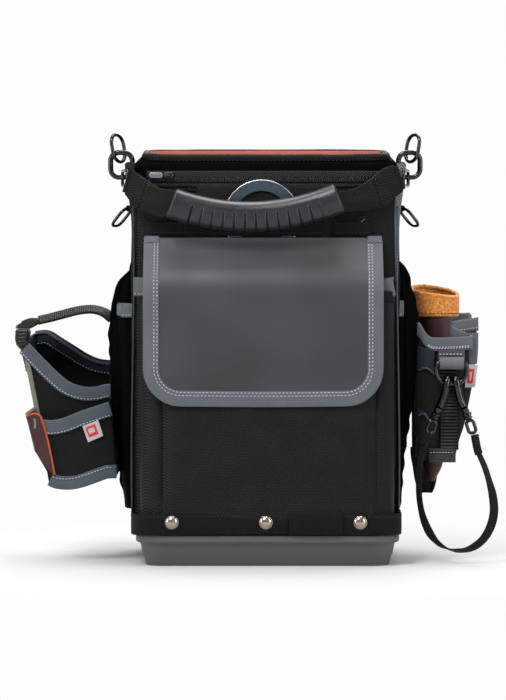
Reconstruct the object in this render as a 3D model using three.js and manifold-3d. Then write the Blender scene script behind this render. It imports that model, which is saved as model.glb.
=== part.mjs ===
// Electrician's tool bag: an upright riveted bag on a moulded base, with a holster hung on its left
// side and a tool pouch with a lanyard hung on its right. Millimetres, +Z up, the front faces -Y, and
// the origin is the centre of the base's bottom face.

import * as THREE from 'three';
import { mergeVertices } from 'three/addons/utils/BufferGeometryUtils.js';
import Module from 'manifold-3d';

const wasm = await Module();
wasm.setup();

// ---------------------------------------------------------------- driving dimensions

const GAP = 0.4; // clearance between pieces that touch
const CLOTH = 3; // thickness of a padded fabric wall
const WEB = 2.5; // thickness of webbing

const BASE = { width: 253, depth: 192, height: 30, lip: 8, corner: 26, wall: 4.5, floor: 5 };
const BAND = { left: -130.7, right: 128.2, front: -98, back: 97.5, bottom: 30.5, top: 50, thick: 2, corner: 20 };
const BODY = { left: -128, right: 124, front: -60, back: 92, bottom: 31, frontTop: 366, top: 386 };
const ZIP = { bottom: 366.5, top: 377.5, left: -116, right: 112 };
const INNER_FRONT = -54; // front face of the mouth's front wall
const RIM = { thick: 7, left: -122, right: 119, corner: 22, tilt: 1.3 };
const DIVIDER = { y: 17, top: 345 };
const INNER_POCKET = { front: -5, top: 190, halfWidth: 108 };
const POCKET = { front: -94, top: 262, halfWidth: 118 };
const CHAMFER = 12; // the body's upright corners are cut off by this much
const FLAP = { left: -118.5, right: 110, top: 313, bottom: 153, corner: 36, bend: 272, face: -99.5 };
const HINGE_Y = -67.6; // the line the front flap folds on
const RIVET = { radius: 6.4, height: 3, z: 42.7, x: [-91.3, -1.8, 88.2] };
const STEEL_RING = { x: -5.7, z: 332.5, radius: 36.8, hole: 25.6, thick: 2 };
const STEEL_DISC = { x: [-85.5, 79.8], z: 346.5, radius: 19.8, thick: 2 };

const HANDLE = { y: -30, gripY: -85, gripHeight: 30, gripDepth: 26 };
const GRIP_ENDS = { left: -92, right: 68, leftZ: 347, rightZ: 351.5, middleZ: 333.5 };
const STRAP_WIDTH = 36; // webbing of the carrying handle
const FOLD_Y = -65; // where the strap folds round its ring's front bar
const LINK = { width: 26, height: 29, wire: 5.4, corner: 8, left: -141.5, right: 137.5, z: 384.2 };
const STRAP_RING = { width: 27, height: 30, wire: 3.6, bottom: 385.3, offset: 3.2 };
const HANDLE_RING = { height: 18, wire: 3.2, offset: 1, z: 371 };
const SIDE_RING = { width: 25, height: 25, wire: 3.2, z: 342, out: 6.8, lean: 40, turn: 20 };

const HOLSTER = { inner: -154, tip: -236, tipZ: 221, toe: -209, toeZ: 76, front: -52, back: 36 };
const POUCH = { inner: 145, outer: 203, front: -38, back: 32, top: 235, bottom: 98 };
const CUFF = { left: 139.8, right: 188.5, top: 267, bottom: 238, y: 2, depth: 43 };
const POUCH_RING = { x: 176.7, z: 183.5, width: 34, height: 24.5, wire: 3.6, y: -63.5 };
const HOOK = { length: 38, width: 17, wire: 4.2, barrel: 7, eye: 16, eyeWidth: 14, eyeWire: 2.8, spread: 18.5 };

// ---------------------------------------------------------------- materials

const finish = (color, roughness, metalness) => new THREE.MeshStandardMaterial({ color, roughness, metalness });
const MATERIAL = {
  nylon: finish(0x1c1c1e, 0.85, 0),
  webbing: finish(0x161617, 0.8, 0),
  vinyl: finish(0x4e5259, 0.5, 0),
  moulding: finish(0x62625f, 0.6, 0),
  board: finish(0x2a2a2a, 0.7, 0),
  lining: finish(0x9c4a38, 0.85, 0),
  rubber: finish(0x45464d, 0.55, 0),
  gunmetal: finish(0x2b2b2e, 0.25, 1),
  nickel: finish(0xb9aea4, 0.25, 1),
  steel: finish(0x6f808e, 0.3, 1),
  leather: finish(0x43262a, 0.6, 0),
  suede: finish(0xb8702e, 0.95, 0),
  plastic: finish(0x121213, 0.4, 0),
};

// ---------------------------------------------------------------- shape helpers

const bag = new THREE.Group();

function add(name, geometry, material, parent = bag) {
  const mesh = new THREE.Mesh(geometry, material);
  mesh.name = name;
  parent.add(mesh);
  return mesh;
}

function solid(geometry) {
  const bare = geometry.clone();
  bare.deleteAttribute('normal');
  bare.deleteAttribute('uv');
  const merged = mergeVertices(bare, 1e-4);
  return new wasm.Manifold(new wasm.Mesh({
    numProp: 3,
    vertProperties: new Float32Array(merged.attributes.position.array),
    triVerts: new Uint32Array(merged.index.array),
  }));
}

function geometryOf(manifold) {
  const mesh = manifold.getMesh();
  const geometry = new THREE.BufferGeometry();
  geometry.setAttribute('position', new THREE.BufferAttribute(new Float32Array(mesh.vertProperties), 3));
  geometry.setIndex(new THREE.BufferAttribute(new Uint32Array(mesh.triVerts), 1));
  geometry.computeVertexNormals();
  return geometry;
}

const cut = (geometry, ...tools) => geometryOf(tools.reduce((a, b) => a.subtract(solid(b)), solid(geometry)));
const join = (...pieces) => geometryOf(pieces.map(solid).reduce((a, b) => a.add(b)));

function box(x0, x1, y0, y1, z0, z1) {
  const geometry = new THREE.BoxGeometry(x1 - x0, y1 - y0, z1 - z0);
  return geometry.translate((x0 + x1) / 2, (y0 + y1) / 2, (z0 + z1) / 2);
}

function roundedRect(x0, x1, y0, y1, r) {
  const shape = new THREE.Shape();
  shape.moveTo(x0 + r, y0);
  shape.lineTo(x1 - r, y0);
  shape.absarc(x1 - r, y0 + r, r, -Math.PI / 2, 0);
  shape.lineTo(x1, y1 - r);
  shape.absarc(x1 - r, y1 - r, r, 0, Math.PI / 2);
  shape.lineTo(x0 + r, y1);
  shape.absarc(x0 + r, y1 - r, r, Math.PI / 2, Math.PI);
  shape.lineTo(x0, y0 + r);
  shape.absarc(x0 + r, y0 + r, r, Math.PI, Math.PI * 1.5);
  return shape;
}

const polygon = (points) => new THREE.Shape(points.map(([x, y]) => new THREE.Vector2(x, y)));

// a shape drawn in XY, standing from z0 to z1
function prism(shape, z0, z1, curveSegments = 3) {
  const geometry = new THREE.ExtrudeGeometry(shape, { depth: z1 - z0, bevelEnabled: false, curveSegments });
  return geometry.translate(0, 0, z0);
}

// a shape drawn in XZ, from y0 to y1
function frontPlate(shape, y0, y1, curveSegments = 3) {
  return prism(shape, 0, y1 - y0, curveSegments).rotateX(Math.PI / 2).translate(0, y1, 0);
}

// a shape drawn in YZ, from x0 to x1
function sidePlate(shape, x0, x1, curveSegments = 3) {
  const turn = new THREE.Matrix4().makeBasis(
    new THREE.Vector3(0, 1, 0), new THREE.Vector3(0, 0, 1), new THREE.Vector3(1, 0, 0));
  return prism(shape, 0, x1 - x0, curveSegments).applyMatrix4(turn).translate(x0, 0, 0);
}

// scales each level about a centre that also moves with height; law(z) gives { sx, sy, x, y }
function taper(geometry, law) {
  const position = geometry.attributes.position;
  for (let i = 0; i < position.count; i += 1) {
    const z = position.getZ(i);
    const { sx, sy, x, y } = law(z);
    position.setX(i, x + (position.getX(i) - x) * sx);
    position.setY(i, y + (position.getY(i) - y) * sy);
  }
  return geometry;
}

// a strap of rectangular section through a row of stations { at, across, through }
function strap(stations) {
  const positions = [];
  stations.forEach(({ at, across, through }) => {
    [[-1, -1], [1, -1], [1, 1], [-1, 1]].forEach(([u, v]) => {
      positions.push(...[0, 1, 2].map((k) => at[k] + u * across[k] + v * through[k]));
    });
  });
  const index = [];
  const quad = (a, b, c, d) => index.push(a, b, c, a, c, d);
  for (let i = 0; i + 1 < stations.length; i += 1) {
    for (let k = 0; k < 4; k += 1) {
      const next = (k + 1) % 4;
      quad(4 * i + k, 4 * i + next, 4 * i + 4 + next, 4 * i + 4 + k);
    }
  }
  const last = 4 * (stations.length - 1);
  quad(3, 2, 1, 0);
  quad(last, last + 1, last + 2, last + 3);
  const geometry = new THREE.BufferGeometry();
  geometry.setAttribute('position', new THREE.Float32BufferAttribute(positions, 3));
  geometry.setIndex(index);
  geometry.computeVertexNormals();
  const volume = solid(geometry).volume();
  if (volume > 0) return geometry;
  geometry.setIndex(index.map((_, i) => index[i - (i % 3) + 2 - (i % 3)]));
  return geometry;
}

// a wire ring with rounded corners in the XY plane, centred on the origin
function wireRing(width, height, corner, wire, curveSegments = 3) {
  const bevel = wire * 0.29;
  const w = width / 2 - bevel;
  const h = height / 2 - bevel;
  const inset = wire - 2 * bevel;
  const round = Math.min(corner, w * 0.97, h * 0.97);
  const shape = roundedRect(-w, w, -h, h, round);
  shape.holes.push(roundedRect(-w + inset, w - inset, -h + inset, h - inset, Math.max(round - inset, 0.8)));
  const geometry = new THREE.ExtrudeGeometry(shape, {
    depth: inset, curveSegments, bevelEnabled: true, bevelThickness: bevel, bevelSize: bevel, bevelSegments: 1,
  });
  return geometry.translate(0, 0, -inset / 2);
}

const degrees = (angle) => THREE.MathUtils.degToRad(angle);

// ---------------------------------------------------------------- base and skirt

function base() {
  const w = BASE.width / 2;
  const d = BASE.depth / 2;
  const step = BASE.height - BASE.lip;
  const lip = prism(roundedRect(-w, w, -d, d, BASE.corner), step, BASE.height);
  const bowl = prism(roundedRect(-w + 4, w - 4, -d + 4, d - 4, BASE.corner - 3), 0, step + 1);
  taper(bowl, (z) => ({ sx: 0.965 + 0.035 * Math.min(z / step, 1), sy: 0.955 + 0.045 * Math.min(z / step, 1), x: 0, y: 0 }));
  const inset = 4 + BASE.wall;
  const hollow = prism(roundedRect(-w + inset, w - inset, -d + inset, d - inset, BASE.corner - 6), BASE.floor, 31);
  taper(hollow, (z) => ({ sx: 0.965 + 0.035 * (z > 20 ? 1 : 0), sy: 0.955 + 0.045 * (z > 20 ? 1 : 0), x: 0, y: 0 }));
  add('base_tray', cut(join(bowl, lip), hollow), MATERIAL.moulding);

  const board = roundedRect(-w + 14, w - 14, -d + 14, d - 14, BASE.corner - 10);
  add('bottom_board', prism(board, BASE.floor + GAP, BASE.floor + GAP + 3), MATERIAL.board);
}

function skirtBand() {
  const { left, right, front, back, thick, corner } = BAND;
  const shape = roundedRect(left, right, front, back, corner);
  shape.holes.push(roundedRect(left + thick, right - thick, front + thick, back - thick, corner - thick));
  add('skirt_band', prism(shape, BAND.bottom, BAND.top, 3), MATERIAL.webbing);
}

function rivets() {
  const profile = [[0, 0], [RIVET.radius, 0], [RIVET.radius * 0.92, 1.3], [RIVET.radius * 0.6, 2.5], [0, RIVET.height]];
  const dome = () => new THREE.LatheGeometry(profile.map(([r, h]) => new THREE.Vector2(r, h)), 10);
  const sides = ['left', 'centre', 'right'];
  sides.forEach((side, i) => {
    const front = dome().rotateX(Math.PI).translate(RIVET.x[i], BAND.front - GAP, RIVET.z);
    add(`rivet_front_${side}`, front, MATERIAL.nickel);
    const back = dome().translate(RIVET.x[i], BAND.back + GAP, RIVET.z);
    add(`rivet_back_${side}`, back, MATERIAL.nickel);
  });
  add('rivet_side_left', dome().rotateZ(Math.PI / 2).translate(BAND.left - GAP, 0, RIVET.z), MATERIAL.nickel);
  add('rivet_side_right', dome().rotateZ(-Math.PI / 2).translate(BAND.right + GAP, 0, RIVET.z), MATERIAL.nickel);
}

// ---------------------------------------------------------------- main body

function bodyPanels() {
  const { left, right, front, back, bottom, frontTop, top } = BODY;
  const x0 = left + CLOTH + GAP;
  const x1 = right - CLOTH - GAP;
  add('front_panel', box(x0, x1, front, front + CLOTH, bottom, frontTop), MATERIAL.nylon);
  add('inner_front_panel', box(x0, x1, INNER_FRONT, INNER_FRONT + CLOTH, bottom, top), MATERIAL.nylon);
  const c = CHAMFER;
  const t = CLOTH;
  const rear = back - c - 2;
  const channel = polygon([
    [left, rear], [left + t, rear], [left + t + 1, back - c - 1.5], [left + c + 1.5, back - t], [right - c - 1.5, back - t],
    [right - t - 1, back - c - 1.5], [right - t, rear], [right, rear], [right - c, back], [left + c, back]]);
  add('back_panel', prism(channel, bottom, top), MATERIAL.nylon);
  const side = polygon([
    [front + 1, bottom], [rear - GAP, bottom], [rear - GAP, top], [INNER_FRONT, top], [front + 1, frontTop]]);
  add('left_panel', sidePlate(side, left, left + CLOTH), MATERIAL.nylon);
  add('right_panel', sidePlate(side, right - CLOTH, right), MATERIAL.nylon);
}

function lining() {
  const x0 = BODY.left + CLOTH + GAP;
  const x1 = BODY.right - CLOTH - GAP;
  const y0 = INNER_FRONT + CLOTH + GAP;
  const y1 = BODY.back - CLOTH - GAP;
  const c = CHAMFER + 1.5;
  const outline = (inset) => polygon([
    [x0 + inset, y0 + inset], [x1 - inset, y0 + inset], [x1 - inset, y1 - c], [x1 - c, y1 - inset],
    [x0 + c, y1 - inset], [x0 + inset, y1 - c]]);
  const space = prism(outline(1.5), BODY.bottom + 1.5, BODY.top + 1);
  add('lining', cut(prism(outline(0), BODY.bottom, BODY.top), space), MATERIAL.lining);

  const inside0 = x0 + 1.5 + GAP;
  const inside1 = x1 - 1.5 - GAP;
  const floor = BODY.bottom + 1.5 + GAP;
  const panel = box(inside0, inside1, DIVIDER.y, DIVIDER.y + 2, floor, DIVIDER.top);
  const w = INNER_POCKET.halfWidth;
  const pocket = box(-w, w, INNER_POCKET.front, DIVIDER.y + 1, floor, INNER_POCKET.top);
  const slot = box(-w + 2, w - 2, INNER_POCKET.front + 2, DIVIDER.y, floor + 2, INNER_POCKET.top + 1);
  add('centre_panel', cut(join(panel, pocket), slot), MATERIAL.lining);
}

function rim() {
  const { thick, left, right, corner } = RIM;
  const bevel = thick * 0.29;
  const flat = thick - 2 * bevel;
  const shape = roundedRect(left + bevel, right - bevel, INNER_FRONT - 1 + bevel, BODY.back - bevel, corner);
  const inner = thick - bevel;
  shape.holes.push(roundedRect(left + inner, right - inner, INNER_FRONT - 1 + inner, BODY.back - inner, corner - flat));
  const geometry = new THREE.ExtrudeGeometry(shape, {
    depth: flat, curveSegments: 3, bevelEnabled: true, bevelThickness: bevel, bevelSize: bevel, bevelSegments: 1,
  });
  geometry.translate(0, -INNER_FRONT, bevel).rotateX(degrees(RIM.tilt));
  add('rim_roll', geometry.translate(0, INNER_FRONT, BODY.top + GAP), MATERIAL.nylon);
}

function zipper() {
  const y = BODY.front - 2.4;
  add('zipper_track', box(ZIP.left, ZIP.right, y, y + 2, ZIP.bottom, ZIP.top), MATERIAL.webbing);
  const sliderX = -94.5;
  const slider = box(sliderX - 4.5, sliderX + 4.5, y - GAP - 3.2, y - GAP, 370, 376.5);
  const lug = box(sliderX - 5.5, sliderX - 4, y - GAP - 3, y - GAP - 1.2, 371.8, 374.8);
  add('zipper_slider', join(slider, lug), MATERIAL.gunmetal);
  const pull = roundedRect(sliderX - 19, sliderX - 6.2, 370.6, 376, 1.4);
  add('zipper_pull', frontPlate(pull, y - GAP - 2.9, y - GAP - 1.3, 2), MATERIAL.steel);
}

function frontFittings() {
  const { x, z, radius, hole, thick } = STEEL_RING;
  const ring = new THREE.Shape().absarc(x, z, radius, 0, Math.PI * 2);
  ring.holes.push(new THREE.Path().absarc(x, z, hole, 0, Math.PI * 2, true));
  const y = BODY.front - 2.4 - GAP;
  add('steel_ring', frontPlate(ring, y - thick, y, 12), MATERIAL.steel);
  ['left', 'right'].forEach((side, i) => {
    const disc = new THREE.Shape().absarc(STEEL_DISC.x[i], STEEL_DISC.z - 1, STEEL_DISC.radius, 0, Math.PI * 2);
    add(`steel_disc_${side}`, frontPlate(disc, BODY.front - GAP - STEEL_DISC.thick, BODY.front - GAP, 8), MATERIAL.steel);
  });
}

// ---------------------------------------------------------------- front pocket and flap

function frontPocket() {
  const { front, top, halfWidth } = POCKET;
  const bottom = BODY.bottom;
  const w = halfWidth;
  const t = CLOTH;
  const c = CHAMFER - 2;
  const rear = BODY.front - GAP;
  const channel = polygon([
    [-w, rear], [-w, front + c], [-w + c, front], [w - c, front], [w, front + c], [w, rear], [w - t, rear],
    [w - t, front + c + 1.2], [w - c - 1.2, front + t], [-w + c + 1.2, front + t], [-w + t, front + c + 1.2], [-w + t, rear]]);
  add('front_pocket', prism(channel, bottom, top), MATERIAL.nylon);
}

// the flap leaves the panel at its top edge, slopes out over the pocket's mouth and hangs down its front
function frontFlap() {
  const { left, right, top, bottom, corner, bend, face } = FLAP;
  const thick = 2.4;
  const profile = polygon([
    [HINGE_Y, top], [face, bend], [face, bottom], [face + thick, bottom], [face + thick, bend - 1],
    [HINGE_Y + 1.6, top - 1.6]]);
  const sheet = sidePlate(profile, left, right);
  const outline = new THREE.Shape();
  outline.moveTo(left, top + 5);
  outline.lineTo(left, bottom + corner);
  outline.absarc(left + corner, bottom + corner, corner, Math.PI, Math.PI * 1.5);
  outline.absarc(right - corner, bottom + corner, corner, -Math.PI / 2, 0);
  outline.lineTo(right, top + 5);
  const cutter = frontPlate(outline, -120, -50, 6);
  add('front_flap', geometryOf(solid(sheet).intersect(solid(cutter))), MATERIAL.vinyl);
}

// ---------------------------------------------------------------- side pockets and hangers

// a pocket that bulges from the side panel: side is -1 on the left and 1 on the right
function sidePocket(name, wall, bulge, side) {
  const y0 = -50;
  const y1 = 82;
  const z0 = 52;
  const z1 = 250;
  const outline = (inset) => {
    const near = wall + side * (GAP + (inset ? 1.6 : 0));
    const shoulder = wall + side * (bulge * 0.62 - inset * 0.8);
    const out = wall + side * (bulge - inset);
    const points = [
      [near, y0 + inset], [shoulder, y0 + 12 + inset * 0.4], [out, y0 + 34], [out, y1 - 34],
      [shoulder, y1 - 12 - inset * 0.4], [near, y1 - inset]];
    return polygon(side > 0 ? points : points.reverse());
  };
  const law = (z) => ({ sx: 0.62 + 0.38 * Math.min(1, (z - z0) / 130), sy: 1, x: wall, y: 0 });
  const layered = (shape, low, high) => {
    const geometry = new THREE.ExtrudeGeometry(shape, { depth: high - low, steps: 2, bevelEnabled: false });
    return taper(geometry.translate(0, 0, low), law);
  };
  add(name, cut(layered(outline(0), z0, z1), layered(outline(CLOTH), z0 + CLOTH, z1 + 3)), MATERIAL.nylon);
}

// webbing that leaves the side panel above the pocket's mouth and hangs down outside the pocket
function hanger(name, wall, out, [y0, y1], side) {
  const a = wall + side * GAP;
  const b = out - side * WEB;
  const points = [[a, 296], [a + side * WEB, 296], [a + side * WEB, 283], [out - side * 5, 271], [out, 236], [out, 120],
    [b, 120], [b, 236], [b - side * 5, 269.5], [a, 281]];
  add(name, frontPlate(polygon(side > 0 ? points.reverse() : points), y0, y1), MATERIAL.webbing);
}

// ---------------------------------------------------------------- handle and corner hardware

function gripCentre(t) {
  const x = GRIP_ENDS.left + (GRIP_ENDS.right - GRIP_ENDS.left) * t;
  const line = GRIP_ENDS.leftZ + (GRIP_ENDS.rightZ - GRIP_ENDS.leftZ) * t;
  const middle = (GRIP_ENDS.leftZ + GRIP_ENDS.rightZ) / 2 - GRIP_ENDS.middleZ;
  return new THREE.Vector3(x, HANDLE.gripY, line - 4 * middle * t * (1 - t));
}

class GripCurve extends THREE.Curve {
  getPoint(t) {
    return gripCentre(t);
  }
}

function handle() {
  // along this path the section's x is the grip's depth and its y is the grip's height
  const section = new THREE.Shape().absellipse(0, 0, HANDLE.gripDepth / 2, HANDLE.gripHeight / 2, 0, Math.PI * 2);
  const grip = new THREE.ExtrudeGeometry(section, {
    steps: 12, curveSegments: 6, bevelEnabled: false, extrudePath: new GripCurve() });
  add('handle_grip', grip, MATERIAL.rubber);

  const half = STRAP_WIDTH / 2;
  [['left', -1], ['right', 1]].forEach(([name, side]) => {
    const t = side < 0 ? 0 : 1;
    const end = gripCentre(t);
    const linkX = side < 0 ? LINK.left : LINK.right;
    const foldX = linkX - side * 7;
    const stations = [
      { at: [end.x + side * 1.2, end.y, end.z], across: [-side * 4.8, 0, 12.4], through: [0, 2.2, 0] },
      { at: [end.x + side * 10, end.y + 2, end.z + 2], across: [-side * 3.5, 0, half * 0.92], through: [0.3, 1.6, 0] },
      { at: [end.x + side * 28, -74, end.z + 8], across: [-side * 5.5, 0, half * 0.97], through: [side * 0.9, 1.3, 0] },
      { at: [foldX - side * 8, -67.2, 360], across: [-side * 2, 0, half], through: [side * 0.6, 1.3, 0] },
      { at: [foldX, -66, 361.5], across: [0, 0, half], through: [0, 1.5, 0] },
    ];
    const fold = box(foldX - 3.6, foldX + 3.6, FOLD_Y - 3.6, FOLD_Y + 3.6, 361.5 - half, 361.5 + half);
    const web = join(strap(stations), fold);
    const clearance = handleRing(side, HANDLE_RING.wire + 2 * GAP);
    add(`handle_strap_${name}`, cut(web, clearance), MATERIAL.webbing);
    add(`handle_ring_${name}`, handleRing(side, HANDLE_RING.wire), MATERIAL.gunmetal);
  });
}

// the handle's ring stands upright beside the body: its front bar is in the strap's fold and its rear
// bar is round the link; a thicker wire gives the clearance cut in the strap
function handleRing(side, wire) {
  const linkX = side < 0 ? LINK.left : LINK.right;
  const frontX = linkX - side * 7;
  const rearX = linkX - side * HANDLE_RING.offset;
  const rear = HANDLE.y + 6.2;
  const front = FOLD_Y - HANDLE_RING.wire / 2;
  const angle = Math.atan2(rearX - frontX, HANDLE.y - FOLD_Y);
  const extra = wire - HANDLE_RING.wire;
  const length = (rear - front) / Math.cos(angle) + extra;
  const ring = wireRing(length, HANDLE_RING.height + extra, 6 + extra / 2, wire);
  ring.rotateX(Math.PI / 2).rotateZ(Math.PI / 2 - angle);
  return ring.translate((frontX + rearX) / 2, (rear + front) / 2, HANDLE_RING.z);
}

// the side ring hangs by its top bar, leaning out from the body; a thicker wire gives its clearance
function sideRing(side, wall, wire) {
  const extra = wire - SIDE_RING.wire;
  const ring = wireRing(SIDE_RING.width + extra, SIDE_RING.height + extra, 9 + extra / 2, wire);
  ring.rotateX(Math.PI / 2).rotateZ(Math.PI / 2).translate(0, 0, -SIDE_RING.height / 2 + SIDE_RING.wire / 2);
  ring.rotateY(-side * degrees(SIDE_RING.lean)).rotateZ(side * degrees(SIDE_RING.turn));
  return ring.translate(wall + side * SIDE_RING.out, HANDLE.y, SIDE_RING.z);
}

function cornerHardware() {
  [['left', -1], ['right', 1]].forEach(([name, side]) => {
    const x = side < 0 ? LINK.left : LINK.right;
    const wall = side < 0 ? BODY.left : BODY.right;
    const link = wireRing(LINK.width, LINK.height, LINK.corner, LINK.wire);
    link.rotateX(Math.PI / 2).translate(x, HANDLE.y, LINK.z);
    add(`strap_link_${name}`, link, MATERIAL.gunmetal);

    // webbing stitched to the side panel: one fold holds the link, the other the side ring
    const slab = (out0, out1, depth, low, high) => {
      const xs = [wall + side * out0, wall + side * out1];
      return box(Math.min(...xs), Math.max(...xs), HANDLE.y - depth, HANDLE.y + depth, low, high);
    };
    const innerBar = side * (x - wall) - LINK.width / 2 + LINK.wire / 2;
    const tab = slab(GAP, innerBar + LINK.wire / 2 + 1.6, 5.5, LINK.z - 3.4, LINK.z + 3.4);
    const strip = slab(GAP, GAP + WEB, 7, 337, LINK.z);
    const fold = slab(GAP, SIDE_RING.out + 3, 5, SIDE_RING.z - 3.4, SIDE_RING.z + 3.4);
    const hole = wireRing(LINK.width + 2 * GAP, LINK.height + 2 * GAP, LINK.corner + GAP, LINK.wire + 2 * GAP);
    hole.rotateX(Math.PI / 2).translate(x, HANDLE.y, LINK.z);
    const web = cut(join(tab, strip, fold), hole, sideRing(side, wall, SIDE_RING.wire + 2 * GAP));
    add(`link_tab_${name}`, web, MATERIAL.webbing);
    add(`side_ring_${name}`, sideRing(side, wall, SIDE_RING.wire), MATERIAL.gunmetal);

    const ring = wireRing(STRAP_RING.width, STRAP_RING.height, 12, STRAP_RING.wire);
    ring.rotateX(Math.PI / 2).rotateZ(Math.PI / 2);
    ring.translate(x + side * STRAP_RING.offset, HANDLE.y, STRAP_RING.bottom + STRAP_RING.height / 2);
    add(`strap_ring_${name}`, ring, MATERIAL.gunmetal);
  });
}

// ---------------------------------------------------------------- left holster

// the mouth's dipped edge, from the bag's side out to the tip, as (x, z)
const HOLSTER_MOUTH = [
  [HOLSTER.inner, 168], [-163, 164], [-176, 163], [-192, 170], [-208, 184], [-224, 205], [HOLSTER.tip, HOLSTER.tipZ]];

function holster() {
  const { inner, tip, tipZ, toe, toeZ, front, back } = HOLSTER;
  const outline = polygon([
    [inner, 88], ...HOLSTER_MOUTH, [tip - 1, tipZ - 4], [toe - 3, toeZ + 12], [toe + 6, toeZ - 2], [-192, 74]]);
  const outer = frontPlate(outline, front, back);
  const wall = CLOTH;
  const space = polygon([
    [inner - wall, 92], [inner - wall, 260], [tip + wall + 1, 260], [tip + wall + 1, tipZ - 6],
    [toe + 1, toeZ + 13], [toe + 9, toeZ + 3], [-192, 78]]);
  add('holster_shell', cut(outer, frontPlate(space, front + wall, back - wall)), MATERIAL.nylon);

  const pocketFront = front - 12;
  const pocket = polygon([[inner - 1, 88], [inner - 1, 155], [-190, 149], [-215, 138], [toe - 3, toeZ + 14], [toe + 6, toeZ - 1], [-192, 75]]);
  const pocketSpace = polygon([[inner - 4, 93], [inner - 4, 200], [-222, 200], [-213, 130], [toe, toeZ + 16], [toe + 9, toeZ + 4], [-192, 79]]);
  add('holster_pocket', cut(
    frontPlate(pocket, pocketFront, front - GAP), frontPlate(pocketSpace, pocketFront + 2.4, front - GAP - 1.6)), MATERIAL.nylon);

  const sleeve = polygon([
    [-224.6, 149], [-233, 143], [-224.8, 106], [-218.6, 88], [-209, 78], [-213.8, 88.5], [-216.6, 106]]);
  add('leather_sleeve', frontPlate(sleeve, -44, 10), MATERIAL.leather);
}

function holsterStrap() {
  const y0 = -18;
  const y1 = 8;
  const root = HOLSTER.inner - 1;
  const arc = polygon([
    [root, 240], [-165, 244.5], [-180, 243], [-200, 238.5], [-223, 233], [-223, 230.4], [-200, 235.8], [-180, 240.2],
    [-165, 241.6], [root, 237.2]]);
  const web = frontPlate(arc, y0, y1);
  const plug = box(-246, -222.8, y0 - 3, y1 + 3, 224.6, 233.5);
  add('holster_strap', join(web, plug), MATERIAL.webbing);
  const socket = box(-246, -237.6, y0 - 3, y1 + 3, 205, 224.2);
  add('buckle_socket', socket, MATERIAL.plastic);
}

// ---------------------------------------------------------------- right pouch

function pouch() {
  const { inner, outer, front, back, top, bottom } = POUCH;
  const law = (z) => {
    const s = Math.max(0, Math.min(1, (top - z) / (top - bottom)));
    return { sx: 1 - 0.42 * s, sy: 1 - 0.2 * s, x: 163, y: (front + back) / 2 };
  };
  const sleeve = (inset, low, high) => taper(
    prism(roundedRect(inner + inset, outer - inset, front + inset, back - inset, 10 - inset), low, high), law);

  const backOutline = polygon([
    [146, 232], [203, 240], [200, 175], [188, 120], [172, 84], [157, 61], [149.5, 61], [146, 90]]);
  const rearPanel = frontPlate(backOutline, back - 2, back + 1.5);
  const shell = join(sleeve(0, bottom, top), rearPanel);
  add('pouch_shell', cut(shell, sleeve(CLOTH, bottom - 1, top + 1)), MATERIAL.nylon);

  const pocketFront = front - 14;
  const outline = polygon([[152, 128], [152, 226], [163, 212], [195, 213], [191, 150], [186, 128]]);
  const space = polygon([[154.4, 131], [154.4, 250], [192.4, 250], [188.6, 150], [184, 131]]);
  add('pouch_pocket', cut(
    frontPlate(outline, pocketFront, front - GAP), frontPlate(space, pocketFront + 2, front - GAP - 1.6)), MATERIAL.nylon);
}

function leatherSleeve() {
  const { left, right, top, bottom, y, depth } = CUFF;
  const x = (left + right) / 2;
  const ellipse = (inset) => new THREE.Shape().absellipse(x, y, (right - left) / 2 - inset, depth / 2 - inset, 0, Math.PI * 2);
  add('leather_cuff', cut(prism(ellipse(0), bottom, top, 8), prism(ellipse(3), bottom - 1, top + 1, 8)), MATERIAL.suede);

  const law = (z) => {
    const s = Math.max(0, Math.min(1, (bottom - z) / (bottom - 75)));
    return { sx: 1 - 0.56 * s, sy: 1 - 0.5 * s, x: 163, y };
  };
  const tube = (inset, low, high) => {
    const shape = new THREE.Shape().absellipse(x + 2, y, 17.8 - inset, 18 - inset, 0, Math.PI * 2);
    return taper(prism(shape, low, high, 8), law);
  };
  add('leather_sleeve_right', cut(tube(0, 75, bottom + 14), tube(2.4, 79, bottom + 20)), MATERIAL.leather);
}

// webbing down the pouch's front whose fold carries the D-ring
function ringWebbing() {
  const { x, y, z, height, wire } = POUCH_RING;
  const bar = z + height / 2 - wire / 2;
  const faceY = POUCH.front - 14 - GAP;
  const strip = box(x - 12, x + 10, faceY - 1.6, faceY, 106, 208);
  const fold = box(x - 11, x + 11, y - wire / 2 - 2, faceY, bar - 4.2, bar + 6);
  // the ring's clearance all through its swing about its top bar
  const swept = [0, 20, 40, 60, 80].map((angle) => {
    const ring = wireRing(POUCH_RING.width + 1, height + 1, 11.5, wire + 1).rotateX(Math.PI / 2);
    ring.translate(0, 0, wire / 2 - height / 2).rotateX(-degrees(angle));
    return ring.translate(x, y, bar);
  });
  add('ring_webbing', cut(join(strip, fold), ...swept), MATERIAL.webbing);
}

function pouchRing() {
  const ring = wireRing(POUCH_RING.width, POUCH_RING.height, 11, POUCH_RING.wire).rotateX(Math.PI / 2);
  add('pouch_ring', ring.translate(POUCH_RING.x, POUCH_RING.y, POUCH_RING.z), MATERIAL.gunmetal);
}

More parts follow.
